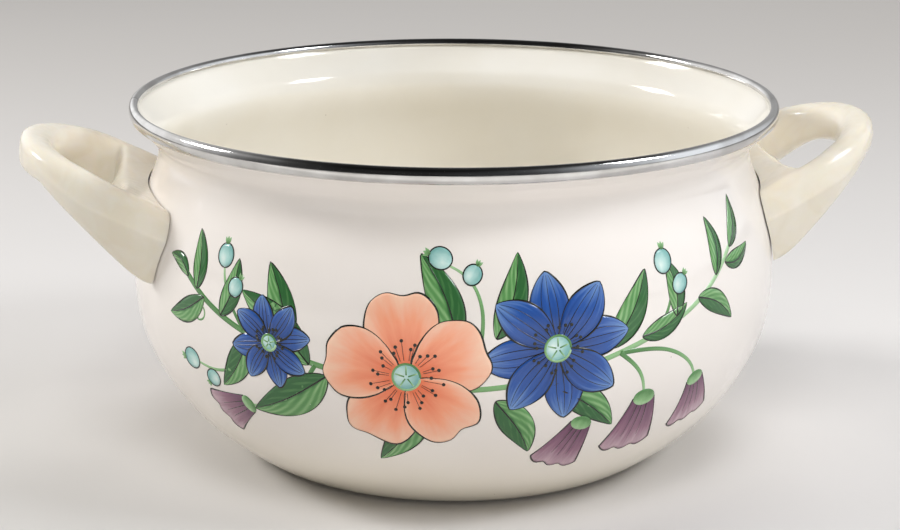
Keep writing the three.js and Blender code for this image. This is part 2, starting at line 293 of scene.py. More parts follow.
@dataclass(frozen=True)
class PaperFloor(Finish):
    """Matt pale studio paper, with painted shade behind the pot and at one side, and painted light in front
    of the picture.
    """

    name: str = "paper_floor"
    near: str = "#E1DEDC"
    # Painted shade: the far tone darkens the paper behind the pot, the side tone darkens it at one side
    far: str = "#C6C2BE"
    side: str = "#D2CFCB"
    # Painted light: the front tone brightens the paper in front of the picture
    front: str = "#F8F5F0"
    far_shade_mm: Span = (-240.0, 800.0)
    side_shade_mm: Span = (0.0, 150.0)
    side_shade_turn: float = 125.0
    front_light_mm: Span = (-170.0, -300.0)

    def look(self, tree: Tree) -> dict[str, Any]:
        """Painted shade falling off along Y and along a line turned to one side, and painted light toward the
        front.
        """

        def share(distance: Socket, span_mm: Span) -> Socket:
            """How far a distance lies along a span."""
            return remap(tree, distance, (span_mm[0] * MM, span_mm[1] * MM), smooth=True)

        place = object_place(tree)
        away = axes_of(tree, place)[1]
        side_shade_way = axes_of(tree, spin(tree, place, -math.radians(self.side_shade_turn)))[1]
        # Painted shade darkening the paper toward the back
        tone = ramp(tree, share(away, self.far_shade_mm), (0.0, self.near), (1.0, self.far))
        # Painted shade darkening the paper toward one side
        tone = tint(tree, share(side_shade_way, self.side_shade_mm), tone, self.side)
        # Painted light brightening the paper in front of the picture
        tone = tint(tree, share(away, self.front_light_mm), tone, self.front)
        return {"Roughness": 0.9, "Specular IOR Level": 0.2, "Base Color": tone}


class Brush(Enum):
    """How the colour lies in one mark of the printed flowers."""

    PETAL = "petal"
    LEAF = "leaf"
    ROUND = "round"
    LINE = "line"


@dataclass(frozen=True)
class Ink(Finish):
    """Ceramic ink fired into the enamel: as glossy as the ground, with brush streaks in each mark."""

    brush: Brush
    deep: str
    middle: str
    pale: str
    streaks: float
    light_spot: tuple[float, float, float] = (0.36, 0.66, 0.0)

    def look(self, tree: Tree) -> dict[str, Any]:
        """Streaks and shade by each mark's own map: u runs from base to tip, v from side to side."""
        mark = own_map(tree)
        axes = axes_of(tree, mark)
        tone = add_node(tree, "ShaderNodeAttribute", output="Fac", attribute_name="tone")
        shifted = add_node(tree, "ShaderNodeCombineXYZ", {0: axes[0], 1: axes[1], 2: tone})
        strokes = add_node(tree, "ShaderNodeMapping", {"Vector": shifted, "Scale": (1.6, self.streaks, 7.0)})
        brushed = noise(tree, strokes, 1.0, 3.0, Roughness=0.55)
        lead = axes[0]
        if self.brush is Brush.LEAF:
            lead = self.leaf_lead(tree, axes[0], axes[1])
        elif self.brush is Brush.ROUND:
            offset = add_node(tree, "ShaderNodeVectorMath", {0: mark, 1: self.light_spot}, "Value",
                              operation="DISTANCE")
            lead = remap(tree, offset, (0.0, 0.75), (1.0, 0.0))
        streaked = remap(tree, calculate(tree, "MULTIPLY_ADD", brushed, 0.62, lead), (0.2, 1.35))
        return {"IOR": 1.52, "Roughness": 0.12,
                "Base Color": ramp(tree, streaked, (0.22, self.deep), (0.62, self.middle), (1.0, self.pale))}

    @staticmethod
    def leaf_lead(tree: Tree, along: Socket, across: Socket) -> Socket:
        """Shades a leaf: one half lighter, with slanting veins.

        Args:
            tree: the material's tree.
            along: the mark's u.
            across: the mark's v.

        Returns:
            The socket that leads the ramp.
        """
        half = remap(tree, across, (0.44, 0.56), (0.1, 0.62), True)
        away = calculate(tree, "ABSOLUTE", calculate(tree, "SUBTRACT", across, 0.5))
        slant = calculate(tree, "MULTIPLY_ADD", away, -0.7, along)
        veins = calculate(tree, "SINE", calculate(tree, "MULTIPLY", slant, 44.0))
        return calculate(tree, "MULTIPLY_ADD", veins, 0.13, half)


def mesh_object(name: str, vertices: Array, faces: Sequence[Sequence[int]],
                edges: Sequence[Sequence[int]] = ()) -> Piece:
    """Makes a mesh object at the origin.

    Args:
        name: the piece's name.
        vertices: rows of x, y and z in millimetres.
        faces: vertex numbers of each face.
        edges: vertex numbers of each loose edge.

    Returns:
        The object, linked to the scene.
    """
    mesh = bpy.data.meshes.new(name)
    mesh.from_pydata((np.asarray(vertices, float) * MM).tolist(), edges, faces)
    mesh.update()
    return add_object(name, mesh)


def add_object(name: str, data: Any) -> Piece:
    """Makes an object of its data and links it to the scene."""
    piece = bpy.data.objects.new(name, data)
    bpy.context.scene.collection.objects.link(piece)
    return piece


def apply_modifiers(piece: Piece) -> None:
    """Turns the evaluated object into a plain mesh and takes its modifiers off."""
    depsgraph = bpy.context.evaluated_depsgraph_get()
    evaluated = piece.evaluated_get(depsgraph)
    mesh = bpy.data.meshes.new_from_object(evaluated, preserve_all_data_layers=True, depsgraph=depsgraph)
    piece.modifiers.clear()
    old = piece.data
    piece.data = mesh
    bpy.data.meshes.remove(old)
    mesh.name = piece.name


def run_nodes(piece: Piece, tree: Tree, values: dict[str, Any]) -> None:
    """Shapes a piece with a geometry tree and keeps the result as its mesh.

    Args:
        piece: the object whose mesh goes in.
        tree: the geometry tree.
        values: the tree's inputs by name.
    """
    modifier = piece.modifiers.new("shape", "NODES")
    modifier.node_group = tree
    for item in tree.interface.items_tree:
        if item.item_type == "SOCKET" and item.in_out == "INPUT" and item.name in values:
            modifier[item.identifier] = values[item.name]
    apply_modifiers(piece)


def carve(piece: Piece, operation: str, *tools: Piece) -> None:
    """Cuts a piece with solids and removes them.

    Args:
        piece: the object to cut.
        operation: Blender's name of the boolean operation.
        tools: the cutting solids, in order.
    """
    for tool in tools:
        cut = piece.modifiers.new(tool.name, "BOOLEAN")
        cut.operation = operation
        cut.solver = "EXACT"
        cut.object = tool
    apply_modifiers(piece)
    for tool in tools:
        bpy.data.meshes.remove(tool.data)


def face_outward(piece: Piece) -> Piece:
    """Turns all faces round where the closed mesh encloses a negative volume; returns the piece."""
    mesh = piece.data
    mesh.calc_loop_triangles()
    points = np.array([v.co for v in mesh.vertices])
    corners = points[np.array([t.vertices for t in mesh.loop_triangles])]
    volume = np.einsum("ij,ij->i", corners[:, 0], np.cross(corners[:, 1], corners[:, 2])).sum()
    if volume < 0:
        mesh.flip_normals()
    return piece


def soften(piece: Piece, degrees: float) -> None:
    """Shades a piece smooth, with sharp edges where faces meet at more than an angle."""
    piece.data.shade_smooth()
    piece.data.set_sharp_from_angle(angle=math.radians(degrees))


def dress(piece: Piece, material: bpy.types.Material) -> None:
    """Gives all of a piece one material."""
    piece.data.materials.clear()
    piece.data.materials.append(material)


def settle(piece: Piece, slot: str, *nodes: str) -> Piece:
    """Fixes a finished piece to the pot.

    Args:
        piece: the finished object.
        slot: the record's material slot; not used.
        nodes: the solids that the piece stands for.

    Returns:
        The piece.
    """
    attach(piece, BODY)
    if nodes:
        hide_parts(*nodes)
    stands_for = ", ".join(nodes) or "nothing"
    LOG.info("%s: %d faces, stands for %s", piece.name, len(piece.data.polygons), stands_for)
    return piece


def start_tree(name: str, inputs: dict[str, str]) -> tuple[Tree, Any]:
    """Starts a geometry tree.

    Args:
        name: the tree's name.
        inputs: the kind of socket of each named input.

    Returns:
        The tree and the outputs of its input node.
    """
    tree = bpy.data.node_groups.new(name, "GeometryNodeTree")
    for label, kind in {"Geometry": "Geometry", **inputs}.items():
        tree.interface.new_socket(name=label, in_out="INPUT", socket_type=f"NodeSocket{kind}")
    tree.interface.new_socket(name="Geometry", in_out="OUTPUT", socket_type="NodeSocketGeometry")
    return tree, add_node(tree, "NodeGroupInput").node.outputs


def end_tree(tree: Tree, shape: Socket, material: Socket, chosen: Socket | bool = True) -> Tree:
    """Ends a tree: makes instances real and sets the material of the chosen faces; returns the tree."""
    whole = add_node(tree, "GeometryNodeRealizeInstances", {"Geometry": shape})
    choice = {"Geometry": whole, "Selection": chosen, "Material": material}
    done = add_node(tree, "GeometryNodeSetMaterial", choice)
    add_node(tree, "NodeGroupOutput", {0: done})
    return tree


def store(tree: Tree, shape: Socket, name: str, value: Socket, kind: str = "FLOAT",
          domain: str = "POINT") -> Socket:
    """Stores a value on a shape as a named attribute."""
    inputs = {"Geometry": shape, "Name": name, "Value": value}
    return add_node(tree, "GeometryNodeStoreNamedAttribute", inputs, data_type=kind, domain=domain)


def recall(tree: Tree, name: str) -> Socket:
    """Reads a named attribute."""
    return add_node(tree, "GeometryNodeInputNamedAttribute", {"Name": name}, data_type="FLOAT")


def revolve_tree() -> Tree:
    """Makes the tree that sweeps a profile round the pot's axis.

    The profile's x is measured outward from the path, and its y downward. A point attribute "inside" picks
    the second material, and the swept faces get a map in metres: u along the path, v along the profile.

    Returns:
        The tree.
    """
    tree, given = start_tree("revolve_profile", {
        "Path Radius": "Float", "Start Angle": "Float", "Sweep Angle": "Float", "Steps": "Int",
        "Closed": "Bool", "Outside": "Material", "Inside": "Material"})
    length = add_node(tree, "GeometryNodeSplineParameter", output="Length")
    profile = add_node(tree, "GeometryNodeMeshToCurve", {"Mesh": given["Geometry"]})
    profile = store(tree, profile, "across", length)
    path = add_node(tree, "GeometryNodeCurveArc", {
        "Resolution": given["Steps"], "Radius": given["Path Radius"], "Start Angle": given["Start Angle"],
        "Sweep Angle": given["Sweep Angle"]}, mode="RADIUS")
    path = add_node(tree, "GeometryNodeSetSplineCyclic", {"Geometry": path, "Cyclic": given["Closed"]})
    path = add_node(tree, "GeometryNodeSetCurveNormal", {"Curve": path}, mode="Z_UP")
    path = store(tree, path, "along", length)
    caps = add_node(tree, "FunctionNodeBooleanMath", {0: given["Closed"]}, operation="NOT")
    swept = add_node(tree, "GeometryNodeCurveToMesh", {
        "Curve": path, "Profile Curve": profile, "Fill Caps": caps})
    chart = add_node(tree, "ShaderNodeCombineXYZ", {0: recall(tree, "along"), 1: recall(tree, "across")})
    mapped = store(tree, swept, "UVMap", chart, "FLOAT2", "CORNER")
    closed = add_node(tree, "GeometryNodeMergeByDistance", {"Geometry": mapped, "Distance": 0.002 * MM})
    smooth = add_node(tree, "GeometryNodeSetShadeSmooth", {"Geometry": closed})
    outside = add_node(tree, "GeometryNodeSetMaterial", {"Geometry": smooth, "Material": given["Outside"]})
    inner = add_node(tree, "FunctionNodeCompare", {0: recall(tree, "inside"), 1: 0.5}, data_type="FLOAT",
                     operation="GREATER_THAN")
    return end_tree(tree, outside, given["Inside"], inner)


def pair_tree() -> Tree:
    """Makes the tree that repeats a piece in equal turns about the pot's axis."""
    tree, given = start_tree("turned_about_axis", {"Count": "Int", "Material": "Material"})
    seats = add_node(tree, "GeometryNodeMeshLine", {"Count": given["Count"], "Offset": (0.0, 0.0, 0.0)})
    step = calculate(tree, "DIVIDE", 2 * math.pi, given["Count"])
    turn = calculate(tree, "MULTIPLY", add_node(tree, "GeometryNodeInputIndex"), step)
    upright = add_node(tree, "ShaderNodeCombineXYZ", {2: turn})
    copies = add_node(tree, "GeometryNodeInstanceOnPoints", {
        "Points": seats, "Instance": given["Geometry"], "Rotation": upright})
    return end_tree(tree, copies, given["Material"])


def wrap_tree() -> Tree:
    """Makes the tree that lays flat print on the pot's wall and repeats it on the other side.

    Flat x is the way round the wall, flat y the way up it and flat z the height over it.

    Returns:
        The tree.
    """
    tree, given = start_tree("print_on_wall", {
        "Wall": "Object", "Belly Radius": "Float", "Belly Length": "Float", "Sides": "Int",
        "Material": "Material"})
    flat = axes_of(tree, add_node(tree, "GeometryNodeInputPosition"))
    wall = add_node(tree, "GeometryNodeObjectInfo", {"Object": given["Wall"]}, "Geometry")
    up = calculate(tree, "ADD", flat[1], given["Belly Length"])
    spot = add_node(tree, "GeometryNodeSampleCurve", {"Curves": wall, "Length": up}, mode="LENGTH",
                    use_all_curves=True).node.outputs
    side = add_node(tree, "ShaderNodeVectorMath", {0: (0.0, 1.0, 0.0), 1: spot["Tangent"]},
                    operation="CROSS_PRODUCT")
    rise = add_node(tree, "ShaderNodeVectorMath", {0: side, "Scale": flat[2]}, operation="SCALE")
    laid = add_node(tree, "ShaderNodeVectorMath", {0: spot["Position"], 1: rise}, operation="ADD")
    angle = calculate(tree, "DIVIDE", flat[0], given["Belly Radius"])
    turned_round = spin(tree, laid, calculate(tree, "SUBTRACT", angle, math.pi / 2))
    placed = add_node(tree, "GeometryNodeSetPosition", {
        "Geometry": given["Geometry"], "Position": turned_round})
    both = add_node(tree, "GeometryNodeGroup", {
        "Geometry": placed, "Count": given["Sides"], "Material": given["Material"]}, node_tree=pair_tree())
    return end_tree(tree, both, given["Material"])


def smooth_path(points: Sequence[Sequence[float]], steps: int) -> Array:
    """Runs a natural cubic spline through points.

    Args:
        points: rows of coordinates.
        steps: pieces that each span is cut into.

    Returns:
        The points of the curve, ends included.
    """
    knots = np.asarray(points, float)
    chords = np.linalg.norm(np.diff(knots, axis=0), axis=1) ** 0.5
    count = len(knots)
    system = np.zeros((count, count))
    known = np.zeros_like(knots)
    system[0, 0] = system[-1, -1] = 1.0
    for i in range(1, count - 1):
        before, after = chords[i - 1], chords[i]
        system[i, i - 1:i + 2] = before, 2 * (before + after), after
        known[i] = 6 * ((knots[i + 1] - knots[i]) / after - (knots[i] - knots[i - 1]) / before)
    bend = np.linalg.solve(system, known)
    rows = []
    for i, chord in enumerate(chords):
        for t in np.linspace(0.0, 1.0, steps, endpoint=False):
            a, b = 1.0 - t, t
            curve = ((a ** 3 - a) * bend[i] + (b ** 3 - b) * bend[i + 1]) * chord ** 2 / 6
            rows.append(a * knots[i] + b * knots[i + 1] + curve)
    rows.append(knots[-1])
    return np.array(rows)


def run_along(path: Array) -> Array:
    """Length of a path up to each of its points."""
    return np.concatenate([[0.0], np.cumsum(np.linalg.norm(np.diff(path, axis=0), axis=1))])


def sideways(path: Array) -> Array:
    """Unit vectors to the left of a flat path, at each of its points."""
    along = np.gradient(path, axis=0)
    along /= np.maximum(np.linalg.norm(along, axis=1, keepdims=True), 1e-6)
    return np.stack([-along[:, 1], along[:, 0]], axis=1)


def offset_profile(points: Array, distance: float) -> Array:
    """Moves a profile sideways along its own normals; positive is outward."""
    return points - sideways(points) * distance


def profile_object(name: str, rows: Array, path_r: float, closed: bool) -> Piece:
    """Makes the chain of edges that the revolving tree sweeps.

    Args:
        name: the piece's name.
        rows: radius and height of each point.
        path_r: radius of the path that the profile is swept along.
        closed: whether the last point joins the first.

    Returns:
        The object.
    """
    count = len(rows)
    points = np.stack([rows[:, 0] - path_r, -rows[:, 1], np.zeros(count)], axis=1)
    edges = [(i, (i + 1) % count) for i in range(count if closed else count - 1)]
    return mesh_object(name, points, (), edges)


def grid_faces(rows: int, columns: int, wrap_rows: bool, wrap_columns: bool) -> list[tuple[int, ...]]:
    """Faces of a grid of points numbered row by row.

    Args:
        rows: number of rows.
        columns: points in a row.
        wrap_rows: whether the last row joins the first.
        wrap_columns: whether each row closes on itself.

    Returns:
        The four corners of each face.
    """
    faces = []
    for i in range(rows if wrap_rows else rows - 1):
        for j in range(columns if wrap_columns else columns - 1):
            k, m = (i + 1) % rows, (j + 1) % columns
            faces.append((i * columns + j, k * columns + j, k * columns + m, i * columns + m))
    return faces


def lathe_object(name: str, rows: Sequence[Sequence[float]], steps: int) -> Piece:
    """Makes a closed solid of revolution about Z whose profile starts and ends on the axis.

    Args:
        name: the object's name.
        rows: radius and height of the profile's points.
        steps: steps round the axis.

    Returns:
        The object, facing outward.
    """
    ring = np.asarray(rows, float)[1:-1]
    angles = np.arange(steps) / steps * 2 * math.pi
    points = np.stack([np.outer(np.cos(angles), ring[:, 0]), np.outer(np.sin(angles), ring[:, 0]),
                       np.tile(ring[:, 1], (steps, 1))], axis=2).reshape(-1, 3)
    width = len(ring)
    faces = grid_faces(steps, width, True, False)
    first, last = len(points), len(points) + 1
    for i in range(steps):
        k = (i + 1) % steps
        faces.append((first, k * width, i * width))
        faces.append((last, i * width + width - 1, k * width + width - 1))
    poles = [(0.0, 0.0, rows[0][1]), (0.0, 0.0, rows[-1][1])]
    return face_outward(mesh_object(name, np.concatenate([points, poles]), faces))


def block(name: str, low: Sequence[float], high: Sequence[float]) -> Piece:
    """Makes a plain cutting block between two corners.

    Args:
        name: the object's name.
        low: the corner with the least coordinates.
        high: the corner with the greatest.

    Returns:
        The object, facing outward.
    """
    xs, ys, zs = zip(low, high)
    corners = np.array([[x, y, z] for x in xs for y in ys for z in zs])
    faces = [(0, 1, 3, 2), (4, 6, 7, 5), (0, 4, 5, 1), (2, 3, 7, 6), (0, 2, 6, 4), (1, 5, 7, 3)]
    return face_outward(mesh_object(name, corners, faces))


@dataclass
class PotShell:
    """The deep-drawn steel shell: base ring, round belly, neck and flared lip, enamelled inside and out."""

    belly_r: float = 109.9
    belly_z: float = 61.0
    base_ring_r: float = 64.0
    base_ring_w: float = 8.0
    base_hollow: float = 0.8
    neck_in: float = 9.4
    neck_z: float = 103.4
    lip_r: float = 108.9
    lip_low_z: float = 115.1
    lip_top_z: float = 119.3
    wall_t: float = 1.4
    steps_round: int = 256
    steps_per_span: int = 6
    # The fourth colour of each enamel is painted shade toward the foot
    outside: Enamel = Enamel("enamel_ivory", "#F6EFE9", "#F3ECE5", "#F4ECDB")
    inside: Enamel = Enamel("enamel_cream", "#F4F0E7", "#F1ECE1", "#EFE9DA")

    def wall(self) -> Array:
        """Outer wall from the base ring's edge to the lip, as rows of radius and height.

        Each stretch is drawn as shares of the way from its own start to its end.
        """
        lower = [(0, 0), (0.035, 0.0115), (0.1416, 0.0139), (0.1885, 0.0172), (0.2288, 0.0328),
                 (0.5033, 0.1934), (0.7669, 0.4262), (0.9521, 0.7131), (1, 1)]
        upper = [(0.1064, 0.33), (0.4787, 0.66), (0.89, 0.884), (1, 1)]
        lip = [(0.036, 0.18), (0.114, 0.342), (0.211, 0.453), (0.367, 0.581), (0.578, 0.756), (0.753, 0.927),
               (0.904, 1.094), (1, 1.256)]
        neck_r = self.belly_r - self.neck_in
        points = []
        for shares, r, z, end_r, end_z in (
                (lower, self.base_ring_r, 0.0, self.belly_r, self.belly_z),
                (upper, self.belly_r, self.belly_z, neck_r, self.neck_z),
                (lip, neck_r, self.neck_z, self.lip_r, self.lip_low_z)):
            points += [(r + (end_r - r) * u, z + (end_z - z) * v) for u, v in shares]
        wall = smooth_path(points, self.steps_per_span)
        wall[:, 0] = np.minimum(wall[:, 0], self.belly_r)
        return wall

    def profile(self) -> tuple[Array, Array]:
        """Closes the wall into a full profile.

        Returns:
            Rows of radius and height from the base's middle to the floor's middle, and for each point 1 where
            it is inside the pot and 0 outside.
        """
        wall = self.wall()
        inner = offset_profile(wall, -self.wall_t)[::-1]
        r, z, top = self.base_ring_r - self.base_ring_w, self.base_hollow, self.lip_top_z
        bottom = [(0, z), (r * 0.5, z), (r - 4, z), (r - 3.2, z - 0.1), (r - 0.8, 0.1), (r, 0.0),
                  (r + 0.8, 0.0)]
        edge = [(self.lip_r - 0.05, top - 0.5), (self.lip_r - 0.45, top),
                (self.lip_r - self.wall_t + 0.3, top)]
        floor = [(x, inner[-1, 1] + y) for x, y in reversed(bottom)]
        rows = np.concatenate([bottom, wall, edge, inner, floor])
        outer_count = len(bottom) + len(wall) + len(edge)
        return rows, np.where(np.arange(len(rows)) < outer_count, 0.0, 1.0)

    def fill(self, name: str, distance: float) -> Piece:
        """Makes the solid that fills the pot out to a distance from its outer wall.

        Args:
            name: the object's name.
            distance: how far outside the wall the solid ends.

        Returns:
            The solid, from below the handles to the neck.
        """
        wall = self.wall()
        chosen = (wall[:, 1] > self.belly_z / 3) & (wall[:, 1] < self.neck_z + 0.3)
        held = offset_profile(wall[chosen], distance)
        return lathe_object(name, [(0.0, held[0, 1]), *held, (0.0, held[-1, 1])], self.steps_round)

    def build(self, tree: Tree) -> Piece:
        """Sweeps the profile round the axis.

        Args:
            tree: the revolving tree.

        Returns:
            The finished shell.
        """
        rows, inside = self.profile()
        shell = profile_object("pot_shell", rows, self.belly_r / 2, closed=False)
        shell.data.attributes.new("inside", "FLOAT", "POINT").data.foreach_set("value", inside)
        run_nodes(shell, tree, {
            "Path Radius": self.belly_r / 2 * MM, "Steps": self.steps_round, "Closed": True,
            "Sweep Angle": 2 * math.pi * (1 - 1 / self.steps_round), "Outside": self.outside.material(),
            "Inside": self.inside.material()})
        return settle(face_outward(shell), "enamel", "pot_body")


@dataclass
class RimBand:
    """The stainless strip rolled over the flared edge, with its butt seam by the left handle."""

    outer_r: float = 109.95
    top_z: float = 120.3
    height: float = 5.2
    width: float = 3.4
    sheet_t: float = 0.7
    inner_leg: float = 2.1
    seam_angle: float = 176.0
    seam_gap: float = 0.5
    steps_round: int = 360
    sharp_angle: float = 50.0
    finish: RolledStainless = RolledStainless()

    def section(self) -> Array:
        """Rolled section as a closed loop of radius and height: bead outside, sheet thickness inside."""
        r, z, t = self.outer_r, self.top_z, self.sheet_t
        low = z - self.height
        inner = r - self.width
        bead = smooth_path([
            (r - 1.35, low + 0.02), (r - 0.75, low + 0.3), (r - 0.2, low + 1.25), (r, low + 2.6),
            (r - 0.2, z - 1.4), (r - 0.75, z - 0.45), (r - 1.55, z), (inner + 1.2, z - 0.06),
            (inner + 0.45, z - 0.55), (inner + 0.1, z - 1.2), (inner, z - self.inner_leg)], 5)
        lining = smooth_path([
            (inner + t, z - self.inner_leg), (inner + t + 0.15, z - 1.3), (inner + t + 0.6, z - t),
            (r - t - 0.8, z - t), (r - t - 0.15, z - 1.4), (r - t, low + 2.6), (r - t - 0.25, low + 1.2),
            (r - t - 1.05, low + 0.45)], 3)
        bead[:, 1] = np.minimum(bead[:, 1], z)
        return np.concatenate([bead, lining])

    def build(self, tree: Tree) -> Piece:
        """Sweeps the section along the lip, leaving the seam open.

        Args:
            tree: the revolving tree.

        Returns:
            The finished band.
        """
        band = profile_object("rim_bead", self.section(), self.outer_r, closed=True)
        half_gap = self.seam_gap / 2 / self.outer_r
        steel = self.finish.material()
        run_nodes(band, tree, {"Path Radius": self.outer_r * MM, "Steps": self.steps_round, "Closed": False,
                               "Start Angle": math.radians(self.seam_angle) + half_gap,
                               "Sweep Angle": 2 * (math.pi - half_gap), "Outside": steel, "Inside": steel})
        face_outward(band)
        band.data.set_sharp_from_angle(angle=math.radians(self.sharp_angle))
        return settle(band, "stainless", "rim_band")


@dataclass
class LoopHandle:
    """A moulded loop handle: a rounded five-cornered section swept round the finger opening, cut to the wall.

    In its own frame x runs outward from the pot's axis and y along the wall.
    """

    tip_r: float = 146.4
    half_w: float = 42.0
    root_r: float = 90.0
    straight_r: float = 104.0
    roundness: float = 2.2
    top_z: float = 94.4
    top_slope: float = 0.45
    top_crown: float = 1.5
    crown_r: float = 118.0
    crown_reach: float = 24.0
    under_z: float = 64.8
    under_r: float = 106.0
    under_slope: float = 0.986
    under_sag: float = 15.0
    sag_half_w: float = 35.0
    under_soft: float = 2.5
    end_t: float = 12.5
    part_drop: float = 10.5
    top_inset: float = 1.2
    under_draft: float = 0.86
    wall_gap: float = 0.45
    grip_inner_r: float = 112.0
    grip_outer_r: float = 134.4
    grip_corner_r: float = 114.5
    grip_half_w: float = 29.5
    grip_taper: float = 0.97
    # Roundness of the opening toward the pot and toward the tip
    grip_powers: Span = (3.0, 1.9)
    # Lean and lift of the opening's lower edge at the pot and at the tip, and its lift at the sides
    grip_leans: Span = (11.5, 1.5)
    grip_lifts: Span = (2.0, 4.0)
    side_lift: float = 7.5
    # How far the rounding of each corner runs back and ahead along the section
    corner_cuts: tuple[Span, ...] = ((8.5, 7.0), (6.0, 8.0), (4.0, 4.0), (4.5, 4.5), (1.0, 1.0))
    tip_cut: float = 5.0
    bridge_drop: float = 3.5
    bridge_slant: float = 0.4
    bridge_cut: float = 4.0
    rings: int = 240
    search_r: float = 80.0
    search_steps: int = 40
    outline_steps: int = 2881
    # Most of an edge that the roundings at its ends may take up
    edge_share: float = 0.96
    fillet_steps: int = 9
    edge_steps: int = 4
    sharp_angle: float = 38.0
    finish: UreaResin = UreaResin()

    def top(self, r: Array) -> Array:
        """Height of the upper face at a distance from the axis."""
        crown = self.top_crown * (1 - ((r - self.crown_r) / self.crown_reach) ** 2)
        return self.top_z + self.top_slope * (r - self.straight_r) + crown

    def under(self, r: Array, t: Array) -> Array:
        """Height of the lower face at a distance from the axis and along the wall."""
        slope = self.under_z + self.under_slope * (r - self.under_r)
        sag = self.under_sag * np.maximum(0, 1 - (t / self.sag_half_w) ** 2)
        land = np.where(r < self.straight_r, self.under_z - sag, self.under_z)
        line = self.under_soft * np.log1p(np.exp((slope - land) / self.under_soft)) + land
        return np.minimum(line, self.top(r) - self.end_t)

    def in_outline(self, r: Array, t: Array) -> Array:
        """Whether a point of the plan lies inside the handle's outer outline."""
        u = np.maximum(0, r - self.straight_r) / (self.tip_r - self.straight_r)
        return (r >= self.root_r) & (u ** self.roundness + (np.abs(t) / self.half_w) ** self.roundness < 1)

    def in_grip(self, r: Array, t: Array) -> Array:
        """Whether a point of the plan lies inside the finger opening."""
        inward = r < self.grip_corner_r
        reach = np.where(inward, self.grip_inner_r, self.grip_outer_r) - self.grip_corner_r
        power = np.where(inward, *self.grip_powers)
        return ((r - self.grip_corner_r) / reach) ** power + (np.abs(t) / self.grip_half_w) ** power < 1

    def leave(self, inside: Callable[[Array, Array], Array], angles: Array) -> tuple[Array, Array]:
        """Finds where rays from the middle of the finger opening leave a region.

        Args:
            inside: the region's test.
            angles: the rays' directions in the plan.

        Returns:
            The distances from the axis and along the wall.
        """
        middle = (self.grip_inner_r + self.grip_outer_r) / 2
        near = np.zeros_like(angles)
        far = np.full_like(angles, self.search_r)
        for _ in range(self.search_steps):
            reach = (near + far) / 2
            held = inside(middle + reach * np.cos(angles), reach * np.sin(angles))
            near = np.where(held, reach, near)
            far = np.where(held, far, reach)
        return middle + near * np.cos(angles), near * np.sin(angles)

    def sections(self) -> Array:
        """Cross-sections of the loop, as rings of points spread evenly along the outer outline."""
        fine = np.linspace(-math.pi, math.pi, self.outline_steps)
        run = run_along(np.stack(self.leave(self.in_outline, fine), axis=1))
        angles = np.interp(np.arange(self.rings) / self.rings * run[-1], run, fine)
        c = np.cos(angles)
        out_r, out_t = self.leave(self.in_outline, angles)
        in_r, in_t = self.leave(self.in_grip, angles)
        middle = (self.grip_inner_r + self.grip_outer_r) / 2
        at_pot = np.maximum(0, -c)
        lean = np.abs(c) * np.where(c < 0, *self.grip_leans)
        ends = np.where(c < 0, *self.grip_lifts)
        lift = ends + (self.side_lift - ends) * (1 - np.abs(c))
        drop = self.bridge_drop * at_pot
        inset = 1 - self.top_inset / np.hypot(out_r - middle, out_t)
        top_r = middle + (out_r - middle) * inset
        low_r = in_r + lean
        under = self.under(out_r, out_t)
        part = np.maximum(self.top(out_r) - self.part_drop, (self.top(out_r) + under) / 2)
        corners = np.stack([np.stack(corner, axis=1) for corner in (
            (top_r, out_t * inset, self.top(top_r)),
            (in_r + self.bridge_slant * drop, in_t, self.top(in_r) - drop),
            (low_r, in_t * self.grip_taper, self.under(low_r, np.full_like(c, self.half_w)) + lift),
            (out_r, out_t * self.under_draft, under),
            (out_r, out_t, part))], axis=1)
        cuts = np.repeat(np.array(self.corner_cuts)[None], len(c), axis=0)
        cuts[:, -1] += self.tip_cut * np.maximum(0, c)[:, None] ** 2
        cuts[:, 1, 1] -= self.bridge_cut * at_pot
        return self.rounded(corners, cuts)

    def rounded(self, corners: Array, cuts: Array) -> Array:
        """Rounds the corners of all sections.

        Args:
            corners: ring, corner and coordinate.
            cuts: ring, corner and how far its rounding runs back and ahead.

        Returns:
            Ring, point and coordinate, with a curve at each corner and points along each edge.
        """
        count = corners.shape[1]
        edges = np.roll(corners, -1, axis=1) - corners
        lengths = np.linalg.norm(edges, axis=2)
        edges /= lengths[:, :, None]
        back, ahead = cuts[:, :, 0], cuts[:, :, 1]
        share = np.minimum(1, self.edge_share * lengths / (ahead + np.roll(back, -1, axis=1)))
        starts, ends = [], []
        for i in range(count):
            starts.append(corners[:, i] - edges[:, i - 1] * (back[:, i] * share[:, i - 1])[:, None])
            ends.append(corners[:, i] + edges[:, i] * (ahead * share)[:, i, None])
        rows = []
        for i in range(count):
            for t in np.linspace(0, 1, self.fillet_steps):
                rows.append((1 - t) ** 2 * starts[i] + 2 * t * (1 - t) * corners[:, i] + t ** 2 * ends[i])
            after = starts[(i + 1) % count]
            for t in np.linspace(0, 1, self.edge_steps + 2)[1:-1]:
                rows.append((1 - t) * ends[i] + t * after)
        return np.stack(rows, axis=1)

    def build(self, shell: PotShell, fixing: "HandleFixing") -> list[Piece]:
        """Lofts the loop, cuts it to the wall and to its fixing, and makes the pair.

        Args:
            shell: the pot's shell, whose wall the saddle follows.
            fixing: the bracket and screw that the handle takes in.

        Returns:
            The right and the left handle.
        """
        rings = self.sections()
        faces = grid_faces(len(rings), rings.shape[1], True, True)
        right = face_outward(mesh_object("loop_handle_right", rings.reshape(-1, 3), faces))
        carve(right, "DIFFERENCE", shell.fill("wall_cutter", self.wall_gap), *fixing.cutters(shell))
        dress(right, self.finish.material())
        right.data.polygons.foreach_set("material_index", [0] * len(right.data.polygons))
        soften(right, self.sharp_angle)
        left = add_object("loop_handle_left", right.data.copy())
        left.data.transform(Matrix.Rotation(math.pi, 4, "Z"))
        return [settle(right, "handle_resin", "handle_right"), settle(left, "handle_resin", "handle_left")]


